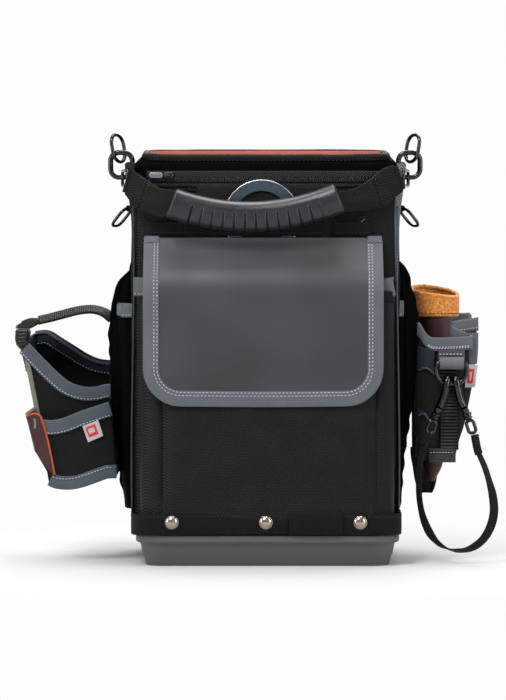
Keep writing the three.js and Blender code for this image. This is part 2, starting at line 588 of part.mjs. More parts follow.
// hook: a gated loop round the ring's wire, a swivel barrel and an eye for the lanyard; local origin is
// the point where the loop hangs on the wire
function snapHook(name, side) {
  const { length, width, wire, barrel, eye, spread } = HOOK;
  const group = new THREE.Group();
  const ringWire = POUCH_RING.z - POUCH_RING.height / 2 + POUCH_RING.wire / 2;
  group.position.set(POUCH_RING.x + side * 5, POUCH_RING.y, ringWire + 1);
  group.rotation.y = -side * degrees(spread);
  bag.add(group);

  const top = POUCH_RING.wire / 2 + wire + 1.4;
  const loop = wireRing(width, length, 7, wire).rotateX(Math.PI / 2).rotateZ(Math.PI / 2);
  loop.translate(0, 0, top - length / 2);
  const gateTop = top - 10;
  const gateLow = top - length + 6;
  const legY = -width / 2 + wire / 2;
  const opening = box(-4, 4, legY - 3.4, legY + 3.4, gateLow, gateTop);
  const foot = top - length;
  const swivel = new THREE.CylinderGeometry(4.4, 4.4, barrel, 10).rotateX(Math.PI / 2).translate(0, 0, foot - barrel / 2 + 1);
  const ringEye = wireRing(HOOK.eyeWidth, eye, 4.5, HOOK.eyeWire).rotateX(Math.PI / 2);
  ringEye.translate(0, 0, foot - barrel + 3 - eye / 2);
  add(`snap_hook_${name}`, join(cut(loop, opening), swivel, ringEye), MATERIAL.gunmetal, group);

  const gate = box(-1.5, 1.5, legY - 1.5, legY + 1.5, gateLow + 2 * GAP, gateTop - 2 * GAP);
  add(`hook_gate_${name}`, gate, MATERIAL.gunmetal, group);
}

// flat webbing loop between the hooks' eyes
const LANYARD_ROUTE = [
  [154.4, -63.5, 124.3], [150.2, -64, 112], [146.6, -65, 96], [145.4, -66, 78], [146.4, -67, 60],
  [150.2, -67.5, 43], [157.5, -67, 27.5], [168, -66, 17], [181, -64.5, 12.8], [194.5, -63, 14.2],
  [206.5, -62, 22], [214.5, -61.5, 34.5], [218, -62, 49], [217, -63, 64], [213.4, -63.5, 79],
  [208.6, -63.5, 94], [202.4, -63.5, 108.5], [199.1, -63.5, 124.3]];

function lanyard() {
  const path = new THREE.CatmullRomCurve3(LANYARD_ROUTE.map(([x, y, z]) => new THREE.Vector3(x, y, z)));
  const section = new THREE.Shape().absellipse(0, 0, 1.4, 3.4, 0, Math.PI * 2);
  add('lanyard', new THREE.ExtrudeGeometry(section, {
    steps: 34, curveSegments: 4, bevelEnabled: false, extrudePath: path }), MATERIAL.webbing);
}

// ---------------------------------------------------------------- assembly

base();
skirtBand();
rivets();
bodyPanels();
lining();
rim();
zipper();
frontFittings();
frontPocket();
frontFlap();
sidePocket('side_pocket_left', BODY.left, 19.5, -1);
sidePocket('side_pocket_right', BODY.right, 15, 1);
hanger('hanger_left', BODY.left, -153.5, [-22, 28], -1);
hanger('hanger_right', BODY.right, 144.5, [-44, -22], 1);
handle();
cornerHardware();
holster();
holsterStrap();
pouch();
leatherSleeve();
ringWebbing();
pouchRing();
snapHook('left', -1);
snapHook('right', 1);
lanyard();

export default bag;
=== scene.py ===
"""Electrician's tool bag: its visual model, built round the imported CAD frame.

Lengths inside the making functions are in millimetres and turned into metres by at() and MM.
The bag stands on the floor, its front faces -Y and +X is to the right.
"""
import math

import bpy
from mathutils import Matrix, Vector, noise


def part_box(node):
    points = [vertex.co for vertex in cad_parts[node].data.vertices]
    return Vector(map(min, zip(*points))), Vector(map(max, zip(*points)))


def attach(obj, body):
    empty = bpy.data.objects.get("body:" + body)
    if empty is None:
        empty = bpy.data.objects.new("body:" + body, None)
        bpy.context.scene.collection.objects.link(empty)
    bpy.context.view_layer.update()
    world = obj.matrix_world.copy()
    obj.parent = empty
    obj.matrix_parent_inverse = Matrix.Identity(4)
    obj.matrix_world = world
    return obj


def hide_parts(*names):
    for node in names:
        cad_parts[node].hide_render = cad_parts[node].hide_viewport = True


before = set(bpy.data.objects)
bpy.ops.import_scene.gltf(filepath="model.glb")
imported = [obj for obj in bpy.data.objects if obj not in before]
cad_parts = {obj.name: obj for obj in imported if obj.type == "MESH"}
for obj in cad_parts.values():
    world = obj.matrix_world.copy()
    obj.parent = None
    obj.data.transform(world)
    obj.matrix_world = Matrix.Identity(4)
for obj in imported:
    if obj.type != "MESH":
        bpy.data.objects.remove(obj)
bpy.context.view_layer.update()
MM = 0.001


def at(x, y, z):
    """A point given in millimetres."""
    return Vector((x, y, z)) * MM


BOXES = {}


def box_mm(node):
    """A CAD node's lowest and highest corner, in millimetres. Each is measured once and kept in BOXES."""
    if node not in BOXES:
        BOXES[node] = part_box(node)
    low, high = BOXES[node]
    return low / MM, high / MM


# ------------------------------------------------------------------ camera, light and floor

AMBIENT = 0.36
WHITE = 0.98


def camera():
    """A long lens near eye level, straight in front of the bag."""
    target = at(-14, -98, 207)
    distance = 3.0
    view_height = 0.665
    elevation = math.radians(2.0)
    place = target + Vector((0, -math.cos(elevation), math.sin(elevation))) * distance
    data = bpy.data.cameras.new("camera")
    data.sensor_width = 36
    data.lens = data.sensor_width * distance / view_height
    data.clip_end = 50
    rig = bpy.data.objects.new("camera", data)
    rig.location = place
    rig.rotation_euler = (target - place).to_track_quat("-Z", "Y").to_euler()
    bpy.context.scene.collection.objects.link(rig)
    bpy.context.scene.camera = rig


def area_light(name, place, aim, size, watts):
    data = bpy.data.lights.new(name, "AREA")
    data.shape = "RECTANGLE"
    data.size, data.size_y = size
    data.energy = watts
    light = bpy.data.objects.new(name, data)
    light.location = place
    light.rotation_euler = (Vector(aim) - Vector(place)).to_track_quat("-Z", "Y").to_euler()
    bpy.context.scene.collection.objects.link(light)


def backdrop():
    """A world that lights softly and looks white to the camera."""
    world = bpy.data.worlds.new("studio")
    world.use_nodes = True
    tree = world.node_tree
    soft = tree.nodes["Background"]
    soft.inputs["Color"].default_value = (1, 1, 1, 1)
    soft.inputs["Strength"].default_value = AMBIENT
    seen = tree.nodes.new("ShaderNodeBackground")
    seen.inputs["Color"].default_value = (1, 1, 1, 1)
    seen.inputs["Strength"].default_value = WHITE
    rays = tree.nodes.new("ShaderNodeLightPath")
    either = tree.nodes.new("ShaderNodeMixShader")
    tree.links.new(rays.outputs["Is Camera Ray"], either.inputs[0])
    tree.links.new(soft.outputs[0], either.inputs[1])
    tree.links.new(seen.outputs[0], either.inputs[2])
    tree.links.new(either.outputs[0], tree.nodes["World Output"].inputs["Surface"])
    bpy.context.scene.world = world


def ground():
    """A plain pale floor."""
    size = 12
    corners = [(-size, -size, 0), (size, -size, 0), (size, size, 0), (-size, size, 0)]
    mesh = bpy.data.meshes.new("floor")
    mesh.from_pydata(corners, [], [(0, 1, 2, 3)])
    floor = bpy.data.objects.new("floor", mesh)
    shader = Shader("floor", (0.56, 0.56, 0.56), 0.9)
    shader.bsdf.inputs["Specular IOR Level"].default_value = 0.1
    # away from the bag the floor turns as white as the background
    place = shader.add("ShaderNodeTexCoord").outputs["Object"]
    distance = shader.add("ShaderNodeVectorMath", operation="LENGTH")
    shader.put(place, distance.inputs[0])
    glow = shader.add("ShaderNodeEmission")
    glow.inputs["Strength"].default_value = WHITE
    both = shader.add("ShaderNodeMixShader")
    shader.put(shader.span(distance.outputs["Value"], 0.15, 0.42), both.inputs[0])
    shader.put(shader.bsdf.outputs[0], both.inputs[1])
    shader.put(glow.outputs[0], both.inputs[2])
    shader.put(both.outputs[0], shader.tree.nodes["Material Output"].inputs["Surface"])
    mesh.materials.append(shader.material)
    bpy.context.scene.collection.objects.link(floor)


def studio():
    bpy.context.scene.view_settings.view_transform = "Standard"
    backdrop()
    # (name, place, size, watts); each light aims at the middle of the bag's lower half
    for name, place, size, watts in (("key", (-0.8, -1.5, 2.1), (0.8, 1.0), 46),
                                     ("fill", (1.7, -1.1, 0.9), (0.6, 1.4), 20),
                                     ("left", (-1.7, -0.7, 0.7), (0.5, 1.2), 14),
                                     ("top", (0.1, 0.2, 2.0), (1.2, 1.0), 30),
                                     ("rear", (0.4, 2.0, 1.4), (1.4, 1.2), 30)):
        area_light(name, place, (0, 0, 0.2), size, watts)
    ground()


# ------------------------------------------------------------------ materials

class Shader:
    """A Principled material whose nodes are added in code."""

    def __init__(self, name, color, roughness, metallic=0.0):
        self.material = bpy.data.materials.new(name)
        self.material.use_nodes = True
        self.tree = self.material.node_tree
        self.bsdf = self.tree.nodes["Principled BSDF"]
        self.bsdf.inputs["Base Color"].default_value = (*color, 1)
        self.bsdf.inputs["Roughness"].default_value = roughness
        self.bsdf.inputs["Metallic"].default_value = metallic

    def add(self, kind, **settings):
        node = self.tree.nodes.new(kind)
        for key, value in settings.items():
            setattr(node, key, value)
        return node

    def put(self, value, socket):
        if isinstance(value, bpy.types.NodeSocket):
            self.tree.links.new(value, socket)
        else:
            socket.default_value = value

    def calc(self, operation, first, second=0.0):
        node = self.add("ShaderNodeMath", operation=operation)
        self.put(first, node.inputs[0])
        self.put(second, node.inputs[1])
        return node.outputs[0]

    def wave(self, value, period):
        """A sine of that period, from -1 to 1."""
        return self.calc("SINE", self.calc("MULTIPLY", value, 2 * math.pi / period))

    def cloth_plane(self):
        """Two lengths along the cloth, made from the piece's own place, for front and side faces alike."""
        place = self.add("ShaderNodeTexCoord").outputs["Object"]
        split = self.add("ShaderNodeSeparateXYZ")
        self.put(place, split.inputs[0])
        across = self.calc("ADD", split.outputs["X"], self.calc("MULTIPLY", split.outputs["Y"], 0.8))
        along = self.calc("ADD", split.outputs["Z"], self.calc("MULTIPLY", split.outputs["Y"], 0.35))
        return across, along

    def tape_plane(self):
        """The lengths along and across a tape, which its UV map holds in metres."""
        split = self.add("ShaderNodeSeparateXYZ")
        self.put(self.add("ShaderNodeTexCoord").outputs["UV"], split.inputs[0])
        return split.outputs["X"], split.outputs["Y"]

    def clouds(self, scale, detail=2.0, roughness=0.5):
        """Noise from 0 to 1, scale times finer than a metre."""
        node = self.add("ShaderNodeTexNoise")
        self.put(self.add("ShaderNodeTexCoord").outputs["Object"], node.inputs["Vector"])
        node.inputs["Scale"].default_value = scale
        node.inputs["Detail"].default_value = detail
        node.inputs["Roughness"].default_value = roughness
        return node.outputs["Fac"]

    def blend(self, factor, first, second):
        node = self.add("ShaderNodeMix", data_type="RGBA")
        self.put(factor, node.inputs[0])
        self.put(first if isinstance(first, bpy.types.NodeSocket) else (*first, 1), node.inputs[6])
        self.put(second if isinstance(second, bpy.types.NodeSocket) else (*second, 1), node.inputs[7])
        return node.outputs[2]

    def span(self, value, low, high, to_low=0.0, to_high=1.0):
        node = self.add("ShaderNodeMapRange")
        self.put(value, node.inputs["Value"])
        for key, number in (("From Min", low), ("From Max", high), ("To Min", to_low), ("To Max", to_high)):
            node.inputs[key].default_value = number
        return node.outputs["Result"]

    def paint(self, color):
        self.put(color, self.bsdf.inputs["Base Color"])

    def rough(self, value):
        self.put(value, self.bsdf.inputs["Roughness"])

    def bump(self, height, depth, strength=1.0):
        """Relief of that depth in millimetres; a second call adds to the first."""
        node = self.add("ShaderNodeBump")
        node.inputs["Strength"].default_value = strength
        node.inputs["Distance"].default_value = depth * MM
        self.put(height, node.inputs["Height"])
        target = self.bsdf.inputs["Normal"]
        if target.links:
            self.put(target.links[0].from_socket, node.inputs["Normal"])
        self.put(node.outputs["Normal"], target)


def shade(color, factor):
    return tuple(min(1.0, channel * factor) for channel in color)


def weave(name, color, pitch, roughness, depth, contrast, kind="plain", tape=False, sheen=0.15, shine=0.12):
    """Cloth of two threads: pitch is the width of one repeat and depth its relief, in millimetres. A tape's
    threads follow its own length."""
    shader = Shader(name, color, roughness)
    across, along = shader.tape_plane() if tape else shader.cloth_plane()
    repeat = pitch * MM
    if kind == "plain":
        threads = shader.calc("MULTIPLY", shader.wave(across, repeat), shader.wave(along, repeat))
    elif kind == "twill":
        diagonal = shader.wave(shader.calc("ADD", across, along), repeat)
        threads = shader.calc("MULTIPLY_ADD", diagonal, 0.7)
        shader.put(shader.calc("MULTIPLY", shader.wave(along, repeat * 0.5), 0.3), threads.node.inputs[2])
    elif kind == "ribs":
        ribs = shader.wave(across, repeat)
        threads = shader.calc("MULTIPLY_ADD", ribs, 0.75)
        shader.put(shader.calc("MULTIPLY", shader.wave(along, repeat * 0.6), 0.25), threads.node.inputs[2])
    else:
        fold = shader.calc("PINGPONG", along, repeat * 2.4)
        threads = shader.wave(shader.calc("ADD", across, fold), repeat)
    height = shader.span(threads, -1, 1)
    patches = shader.clouds(38, 3)
    # raised threads are painted lighter and the hollows between them darker: painted highlight and painted shade
    # on the weave
    dark = shade(color, max(0.1, 1 - contrast))
    light = shade(color, 1 + contrast)
    woven = shader.blend(height, dark, light)
    shader.paint(shader.blend(shader.span(patches, 0.3, 0.75, 0.0, 0.35), woven, shade(color, 0.6)))
    shader.rough(shader.span(height, 0, 1, min(1.0, roughness + 0.1), roughness - 0.08))
    shader.bump(height, depth, 0.9)
    shader.bump(shader.clouds(150, 3), 0.25, 0.5)
    shader.bsdf.inputs["Sheen Weight"].default_value = sheen
    shader.bsdf.inputs["Sheen Roughness"].default_value = 0.5
    shader.bsdf.inputs["Specular IOR Level"].default_value = shine
    return shader.material


def vinyl(name, color):
    """Blue-grey coated cloth of the flap, browner and rougher in worn patches, with a fine pale grain."""
    shader = Shader(name, color, 0.42)
    worn_color, grain_color = (0.019, 0.018, 0.019), (0.055, 0.059, 0.068)
    cloth_pitch = 1.1 * MM
    large = shader.clouds(11, 2, 0.45)
    wear_and_painted_highlight = shader.blend(shader.span(large, 0.36, 0.68), color, worn_color)
    fine = shader.clouds(900, 2)
    shader.paint(shader.blend(shader.span(fine, 0.35, 0.7, 0.0, 0.18), wear_and_painted_highlight, grain_color))
    shader.rough(shader.span(large, 0.3, 0.7, 0.42, 0.54))
    across, along = shader.cloth_plane()
    base_cloth = shader.calc("MULTIPLY", shader.wave(across, cloth_pitch), shader.wave(along, cloth_pitch))
    shader.bump(shader.span(base_cloth, -1, 1), 0.05, 0.4)
    shader.bump(fine, 0.06, 0.5)
    shader.bump(shader.clouds(20, 2), 0.9, 0.35)
    return shader.material


def moulded(name, color, roughness, grain=0.08, grain_scale=1400, specks=0.25):
    """Moulded plastic or rubber with a fine spark-eroded grain and faint handling marks."""
    shader = Shader(name, color, roughness)
    grain_noise = shader.clouds(grain_scale, 3, 0.6)
    marks = shader.clouds(30, 4, 0.6)
    tone = shader.blend(shader.span(marks, 0.3, 0.75, 0.0, specks), color, shade(color, 1.5))
    shader.paint(shader.blend(shader.span(grain_noise, 0.4, 0.75, 0.0, 0.3), tone, shade(color, 0.65)))
    shader.rough(shader.span(marks, 0.3, 0.7, roughness - 0.06, roughness + 0.08))
    shader.bump(grain_noise, grain, 0.8)
    return shader.material


def metal(name, color, roughness, scratch=0.02):
    """Plated metal with uneven polish and fine rubbing marks."""
    shader = Shader(name, color, roughness, 1.0)
    patches = shader.clouds(120, 4, 0.6)
    shader.paint(shader.blend(shader.span(patches, 0.35, 0.7, 0.0, 0.4), color, shade(color, 0.6)))
    shader.rough(shader.span(patches, 0.3, 0.7, max(0.05, roughness - 0.07), roughness + 0.1))
    shader.bump(shader.clouds(1100, 3), scratch, 0.5)
    return shader.material


def hide(name, color, edge, pore_scale, depth, roughness, nap=0.0):
    """Leather: pores from a cell pattern, blotches of a second tone and, on suede, a nap."""
    shader = Shader(name, color, roughness)
    cells = shader.add("ShaderNodeTexVoronoi", feature="DISTANCE_TO_EDGE")
    shader.put(shader.add("ShaderNodeTexCoord").outputs["Object"], cells.inputs["Vector"])
    cells.inputs["Scale"].default_value = pore_scale
    creases = shader.span(cells.outputs["Distance"], 0.0, 0.25)
    blotches = shader.clouds(60, 4, 0.6)
    tone = shader.blend(shader.span(blotches, 0.35, 0.7), color, edge)
    shader.paint(shader.blend(shader.span(creases, 0, 1, 0.45, 0.0), tone, shade(color, 0.45)))
    if nap:
        fibres = shader.span(shader.clouds(420, 4, 0.7), 0.38, 0.62)
        shader.paint(shader.blend(fibres, shade(color, 0.55), shade(color, 1.25)))
    shader.rough(shader.span(blotches, 0.3, 0.7, roughness - 0.08, roughness + 0.08))
    shader.bump(creases, depth, 0.7)
    shader.bump(shader.clouds(700, 4, 0.7), 0.25, 0.4 + nap)
    shader.bsdf.inputs["Sheen Weight"].default_value = nap
    shader.bsdf.inputs["Specular IOR Level"].default_value = 0.3
    return shader.material


# name: (record slot, maker, colour, then the maker's own settings)
MATERIALS = {
    "nylon": ("nylon", weave, (0.0040, 0.0040, 0.0042), 1.9, 0.6, 0.7, 1.8, "plain", False, 0.02),
    "nylon_olive": ("nylon", weave, (0.0098, 0.0094, 0.0076), 1.9, 0.6, 0.6, 1.4, "plain", False, 0.03),
    # the same black nylon painted far darker: painted shade for the wall and collar under the rim roll, the side
    # pockets and the hanger gussets
    "nylon_deep": ("nylon", weave, (0.0012, 0.0012, 0.0013), 1.9, 0.7, 0.5, 0.9, "plain", False, 0.0, 0.03),
    "nylon_twill": ("nylon", weave, (0.0044, 0.0044, 0.0046), 2.9, 0.55, 0.9, 3.4, "twill", False, 0.03),
    "webbing": ("webbing", weave, (0.0070, 0.0070, 0.0080), 2.1, 0.6, 0.7, 0.8, "ribs", True, 0.03),
    "strap_twill": ("webbing", weave, (0.0045, 0.0045, 0.0048), 2.6, 0.6, 0.5, 0.8, "twill", True, 0.05),
    "band": ("webbing", weave, (0.0038, 0.0038, 0.0042), 1.6, 0.66, 0.4, 0.6, "ribs", True, 0.02),
    "binding": ("webbing", weave, (0.108, 0.121, 0.136), 1.3, 0.72, 0.35, 0.34, "twill", True),
    "binding_deep": ("webbing", weave, (0.072, 0.085, 0.102), 1.3, 0.7, 0.35, 0.36, "twill", True),
    "binding_navy": ("webbing", weave, (0.018, 0.023, 0.034), 1.3, 0.7, 0.35, 0.36, "twill", True, 0.05),
    "webbing_grey": ("webbing", weave, (0.042, 0.043, 0.043), 1.6, 0.7, 0.4, 0.45, "ribs", True, 0.05),
    "khaki": ("webbing", weave, (0.17, 0.165, 0.145), 1.2, 0.75, 0.3, 0.3, "plain", True),
    "tan_tape": ("nylon", weave, (0.024, 0.022, 0.017), 1.2, 0.6, 0.3, 0.3),
    "tab": ("webbing", weave, (0.12, 0.132, 0.137), 1.2, 0.75, 0.3, 0.3, "ribs", True),
    "braid": ("webbing", weave, (0.15, 0.16, 0.17), 3.0, 0.6, 0.6, 0.85, "herringbone", True),
    "braid_dark": ("webbing", weave, (0.016, 0.016, 0.018), 3.0, 0.55, 0.6, 0.85, "herringbone", True, 0.05),
    "lining": ("lining", weave, (0.36, 0.095, 0.065), 0.9, 0.8, 0.12, 0.2),
    "lining_binding": ("lining", weave, (0.02, 0.02, 0.021), 1.3, 0.8, 0.2, 0.4, "ribs", True),
    "thread": ("webbing", weave, (0.50, 0.53, 0.55), 0.9, 0.7, 0.1, 0.2),
    "dark_thread": ("webbing", weave, (0.022, 0.022, 0.024), 0.9, 0.7, 0.1, 0.2, "plain", False, 0.05),
    "purple_thread": ("leather", weave, (0.06, 0.022, 0.026), 0.9, 0.7, 0.1, 0.2),
    "label": ("nylon", weave, (0.42, 0.40, 0.41), 0.6, 0.7, 0.05, 0.1),
    "label_red": ("nylon", weave, (0.55, 0.03, 0.035), 0.6, 0.7, 0.05, 0.1),
    "vinyl": ("vinyl", vinyl, (0.031, 0.035, 0.043)),
    "moulding": ("moulding", moulded, (0.074, 0.075, 0.075), 0.5, 0.06),
    "rubber": ("rubber", moulded, (0.011, 0.011, 0.014), 0.34, 0.05, 1700, 0.15),
    "plastic": ("plastic", moulded, (0.007, 0.007, 0.008), 0.32, 0.03, 1500, 0.1),
    "board": ("board", moulded, (0.02, 0.02, 0.02), 0.7, 0.1, 500),
    "gunmetal": ("gunmetal", metal, (0.055, 0.054, 0.054), 0.14),
    "nickel": ("nickel", metal, (0.44, 0.37, 0.32), 0.2),
    "steel": ("steel", metal, (0.085, 0.115, 0.145), 0.42),
    # bright steel used only as a painted highlight along the rims of the steel ring and discs
    "bright": ("steel", metal, (0.85, 0.87, 0.9), 0.25),
    "zinc": ("steel", metal, (0.26, 0.31, 0.34), 0.35),
    "leather": ("leather", hide, (0.062, 0.021, 0.022), (0.036, 0.013, 0.015), 750, 0.12, 0.42),
    "orange_edge": ("leather", hide, (0.42, 0.085, 0.015), (0.30, 0.06, 0.012), 900, 0.08, 0.5),
    "suede": ("suede", hide, (0.66, 0.25, 0.050), (0.50, 0.165, 0.032), 1300, 0.1, 0.95, 0.3),
}
_made = {}


def material(name):
    """The material of that name, made the first time it is asked for."""
    if name not in _made:
        _, maker, *settings = MATERIALS[name]
        _made[name] = maker(name, *settings)
    return _made[name]


# ------------------------------------------------------------------ curves

FRONT = (0, -1, 0)
SMOOTH_STEPS = 16


def catmull_rom(p, t):
    """The point at share t between the middle two of four numbers or vectors."""
    return 0.5 * (2 * p[1] + (p[2] - p[0]) * t + (2 * p[0] - 5 * p[1] + 4 * p[2] - p[3]) * t * t
                  + (3 * p[1] - p[0] - 3 * p[2] + p[3]) * t ** 3)


def smooth_path(points, step, closed=False):
    """Evenly spaced points, about step apart, on a Catmull-Rom curve through the given ones."""
    points = [Vector(p) for p in points]
    count = len(points)
    dense = []
    for i in range(count if closed else count - 1):
        if closed:
            four = [points[(i + k) % count] for k in (-1, 0, 1, 2)]
        else:
            first = points[i - 1] if i else 2 * points[0] - points[1]
            last = points[i + 2] if i + 2 < count else 2 * points[-1] - points[-2]
            four = [first, points[i], points[i + 1], last]
        dense += [catmull_rom(four, k / SMOOTH_STEPS) for k in range(SMOOTH_STEPS)]
    dense.append(points[0] if closed else points[-1])
    return even(dense, step, closed)


def even(points, step, closed=False):
    """The same polyline with evenly spaced points. A closed one takes its first point last as well."""
    lengths = [0.0]
    for a, b in zip(points, points[1:]):
        lengths.append(lengths[-1] + (b - a).length)
    count = max(2, round(lengths[-1] / step))
    result, k = [], 0
    for i in range(count + 1):
        goal = lengths[-1] * i / count
        while k < len(points) - 2 and lengths[k + 1] < goal:
            k += 1
        share = (goal - lengths[k]) / max(lengths[k + 1] - lengths[k], 1e-12)
        result.append(points[k].lerp(points[k + 1], min(1.0, share)))
    return result[:-1] if closed else result


def tangents(path, closed):
    n = len(path)
    if closed:
        return [(path[(i + 1) % n] - path[i - 1]).normalized() for i in range(n)]
    return [(path[min(i + 1, n - 1)] - path[max(i - 1, 0)]).normalized() for i in range(n)]


def level_outward(point, tangent):
    """The level direction at right angles to a path, outwards when it runs anticlockwise."""
    return Vector((tangent.y, -tangent.x, 0))


def square_to(direction, tangent):
    """The direction with its part along the tangent taken out."""
    return (direction - tangent * direction.dot(tangent)).normalized()


def bump_at(value, centre, width):
    """A smooth bump of height 1 at centre."""
    return math.exp(-((value - centre) / width) ** 2)


def ease(value, low, high):
    """From 0 at low to 1 at high, level at both ends."""
    share = max(0.0, min(1.0, (value - low) / (high - low)))
    return share * share * (3 - 2 * share)


def arch(share):
    """A half sine: 0 at both ends and 1 in the middle."""
    return math.sin(math.pi * share)


def power(value, exponent):
    """The size of value raised to the exponent, with its own sign."""
    return math.copysign(abs(value) ** exponent, value)


_curves = {}


def height_at(x, table):
    """The height at x on a smooth curve through (x, z) stations, from left to right."""
    if table not in _curves:
        _curves[table] = smooth_path([Vector((px, 0, pz)) for px, pz in table], 0.8)
    curve = _curves[table]
    if x <= curve[0].x:
        return curve[0].z
    for a, b in zip(curve, curve[1:]):
        if x <= b.x:
            return a.z + (b.z - a.z) * (x - a.x) / max(b.x - a.x, 1e-6)
    return curve[-1].z


# ------------------------------------------------------------------ mesh helpers

def piece(name, verts, faces, body, finish, uvs=None, sharp=45, replaces=()):
    """A mesh object that rides on a body. uvs holds one (u, v) in metres for each vertex."""
    mesh = bpy.data.meshes.new(name)
    mesh.from_pydata([tuple(v) for v in verts], [], faces)
    mesh.validate()
    if uvs:
        layer = mesh.uv_layers.new(name="UVMap")
        for loop in mesh.loops:
            layer.data[loop.index].uv = uvs[loop.vertex_index]
    mesh.shade_smooth()
    mesh.set_sharp_from_angle(angle=math.radians(sharp))
    thing = bpy.data.objects.new(name, mesh)
    bpy.context.scene.collection.objects.link(thing)
    mesh.materials.append(material(finish))
    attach(thing, body)
    if replaces:
        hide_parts(*replaces)
    return thing


def face_outward(thing):
    """Turns a closed mesh's faces outwards if they face in."""
    volume = 0.0
    for polygon in thing.data.polygons:
        corners = [thing.data.vertices[k].co for k in polygon.vertices]
        for b, c in zip(corners[1:], corners[2:]):
            volume += corners[0].dot(b.cross(c))
    if volume < 0:
        thing.data.flip_normals()
    return thing


def tube_faces(rows, sides, closed=False):
    """Faces round and along rows of points, and one over each end unless the last row joins the first."""
    faces = []
    for i in range(rows if closed else rows - 1):
        j = (i + 1) % rows
        for k in range(sides):
            m = (k + 1) % sides
            faces.append((i * sides + k, j * sides + k, j * sides + m, i * sides + m))
    if not closed:
        faces.append(tuple(range(sides)))
        faces.append(tuple((rows - 1) * sides + k for k in reversed(range(sides))))
    return faces


def round_about(u_axis, v_axis, sides):
    """Unit spokes from u_axis towards v_axis and round."""
    angles = [2 * math.pi * k / sides for k in range(sides)]
    return [u_axis * math.cos(angle) + v_axis * math.sin(angle) for angle in angles]


def sweep(name, path, section, facing, body, finish, closed=False, sharp=45, replaces=(), scale=None):
    """A section of (across, outward) points, in metres, swept along path. facing is the outward direction:
    one vector, a list of one for each point, or a function of the point and its tangent.
    scale(share) gives the section's two factors."""
    verts, uvs = [], []
    girth = [0.0]
    for a, b in zip(section, section[1:]):
        girth.append(girth[-1] + math.dist(a, b))
    length = 0.0
    for i, (point, tangent) in enumerate(zip(path, tangents(path, closed))):
        if i:
            length += (point - path[i - 1]).length
        if callable(facing):
            out = facing(point, tangent)
        else:
            out = Vector(facing[i] if isinstance(facing, list) else facing)
        out = square_to(out, tangent)
        across = tangent.cross(out)
        factors = scale(i / (len(path) - 1)) if scale else (1, 1)
        for (u, v), along in zip(section, girth):
            verts.append(point + across * (u * factors[0]) + out * (v * factors[1]))
            uvs.append((length, along))
    return piece(name, verts, tube_faces(len(path), len(section), closed), body, finish, uvs, sharp, replaces)


def round_section(radius, sides=12, flat=1.0):
    angles = [2 * math.pi * k / sides for k in range(sides)]
    return [(radius * math.cos(angle), radius * flat * math.sin(angle)) for angle in angles]


def strap_section(width, thickness, crown=0.0):
    """A flat strap's section with rounded edges, its back on the path."""
    half = width / 2 * MM
    thick = thickness * MM
    edge = min(thick * 0.5, half * 0.4)
    crest = thick + crown * MM
    left = [(-half + edge * 0.3, thick * 0.15), (-half, thick * 0.5), (-half + edge * 0.3, thick * 0.88)]
    top = [(-half + edge, thick), (-half / 3, crest), (half / 3, crest), (half - edge, thick)]
    right = [(half - edge * 0.3, thick * 0.88), (half, thick * 0.5), (half - edge * 0.3, thick * 0.15)]
    return [*left, *top, *right, (half - edge, 0), (-half + edge, 0)]


def strap(name, points, width, thickness, facing, body, finish, step=3.0, closed=False, replaces=(),
          scale=None):
    """A flat strap through points in metres. Its width, thickness and step are in millimetres, and
    without a step the points are used as they are."""
    path = smooth_path(points, step * MM, closed) if step else points
    section = strap_section(width, thickness)
    return sweep(name, path, section, facing, body, finish, closed, 50, replaces, scale)


def wire(name, points, radius, body, finish, closed=False, step=1.0, sides=14, flat=1.0):
    """A round wire or piping through points in metres; radius and step are in millimetres."""
    path = smooth_path(points, step * MM, closed) if step else points
    return sweep(name, path, round_section(radius * MM, sides, flat), FRONT, body, finish, closed, 80)


def rounded_loop(width, height, corner, per_corner=8):
    """A closed rounded rectangle of (u, v) points in millimetres, centred on the origin, from bottom left."""
    w, h = width / 2 - corner, height / 2 - corner
    points = []
    for cx, cy, start in ((-w, -h, math.pi), (w, -h, 1.5 * math.pi), (w, h, 0), (-w, h, math.pi / 2)):
        for k in range(per_corner + 1):
            angle = start + math.pi / 2 * k / per_corner
            points.append((cx + corner * math.cos(angle), cy + corner * math.sin(angle)))
    return points


def ring(name, centre, u_axis, v_axis, width, height, corner, radius, body, replaces=()):
    """A closed wire ring round a centre in metres: width and height are outside sizes in millimetres."""
    u_axis, v_axis = Vector(u_axis).normalized(), Vector(v_axis).normalized()
    outline = rounded_loop(width - 2 * radius, height - 2 * radius, max(corner - radius, 1.0))
    path = [Vector(centre) + (u_axis * u + v_axis * v) * MM for u, v in outline]
    path = even(path + [path[0]], 1.0 * MM, True)
    facing = u_axis.cross(v_axis)
    return sweep(name, path, round_section(radius * MM, 14), facing, body, "gunmetal", True, 80, replaces)


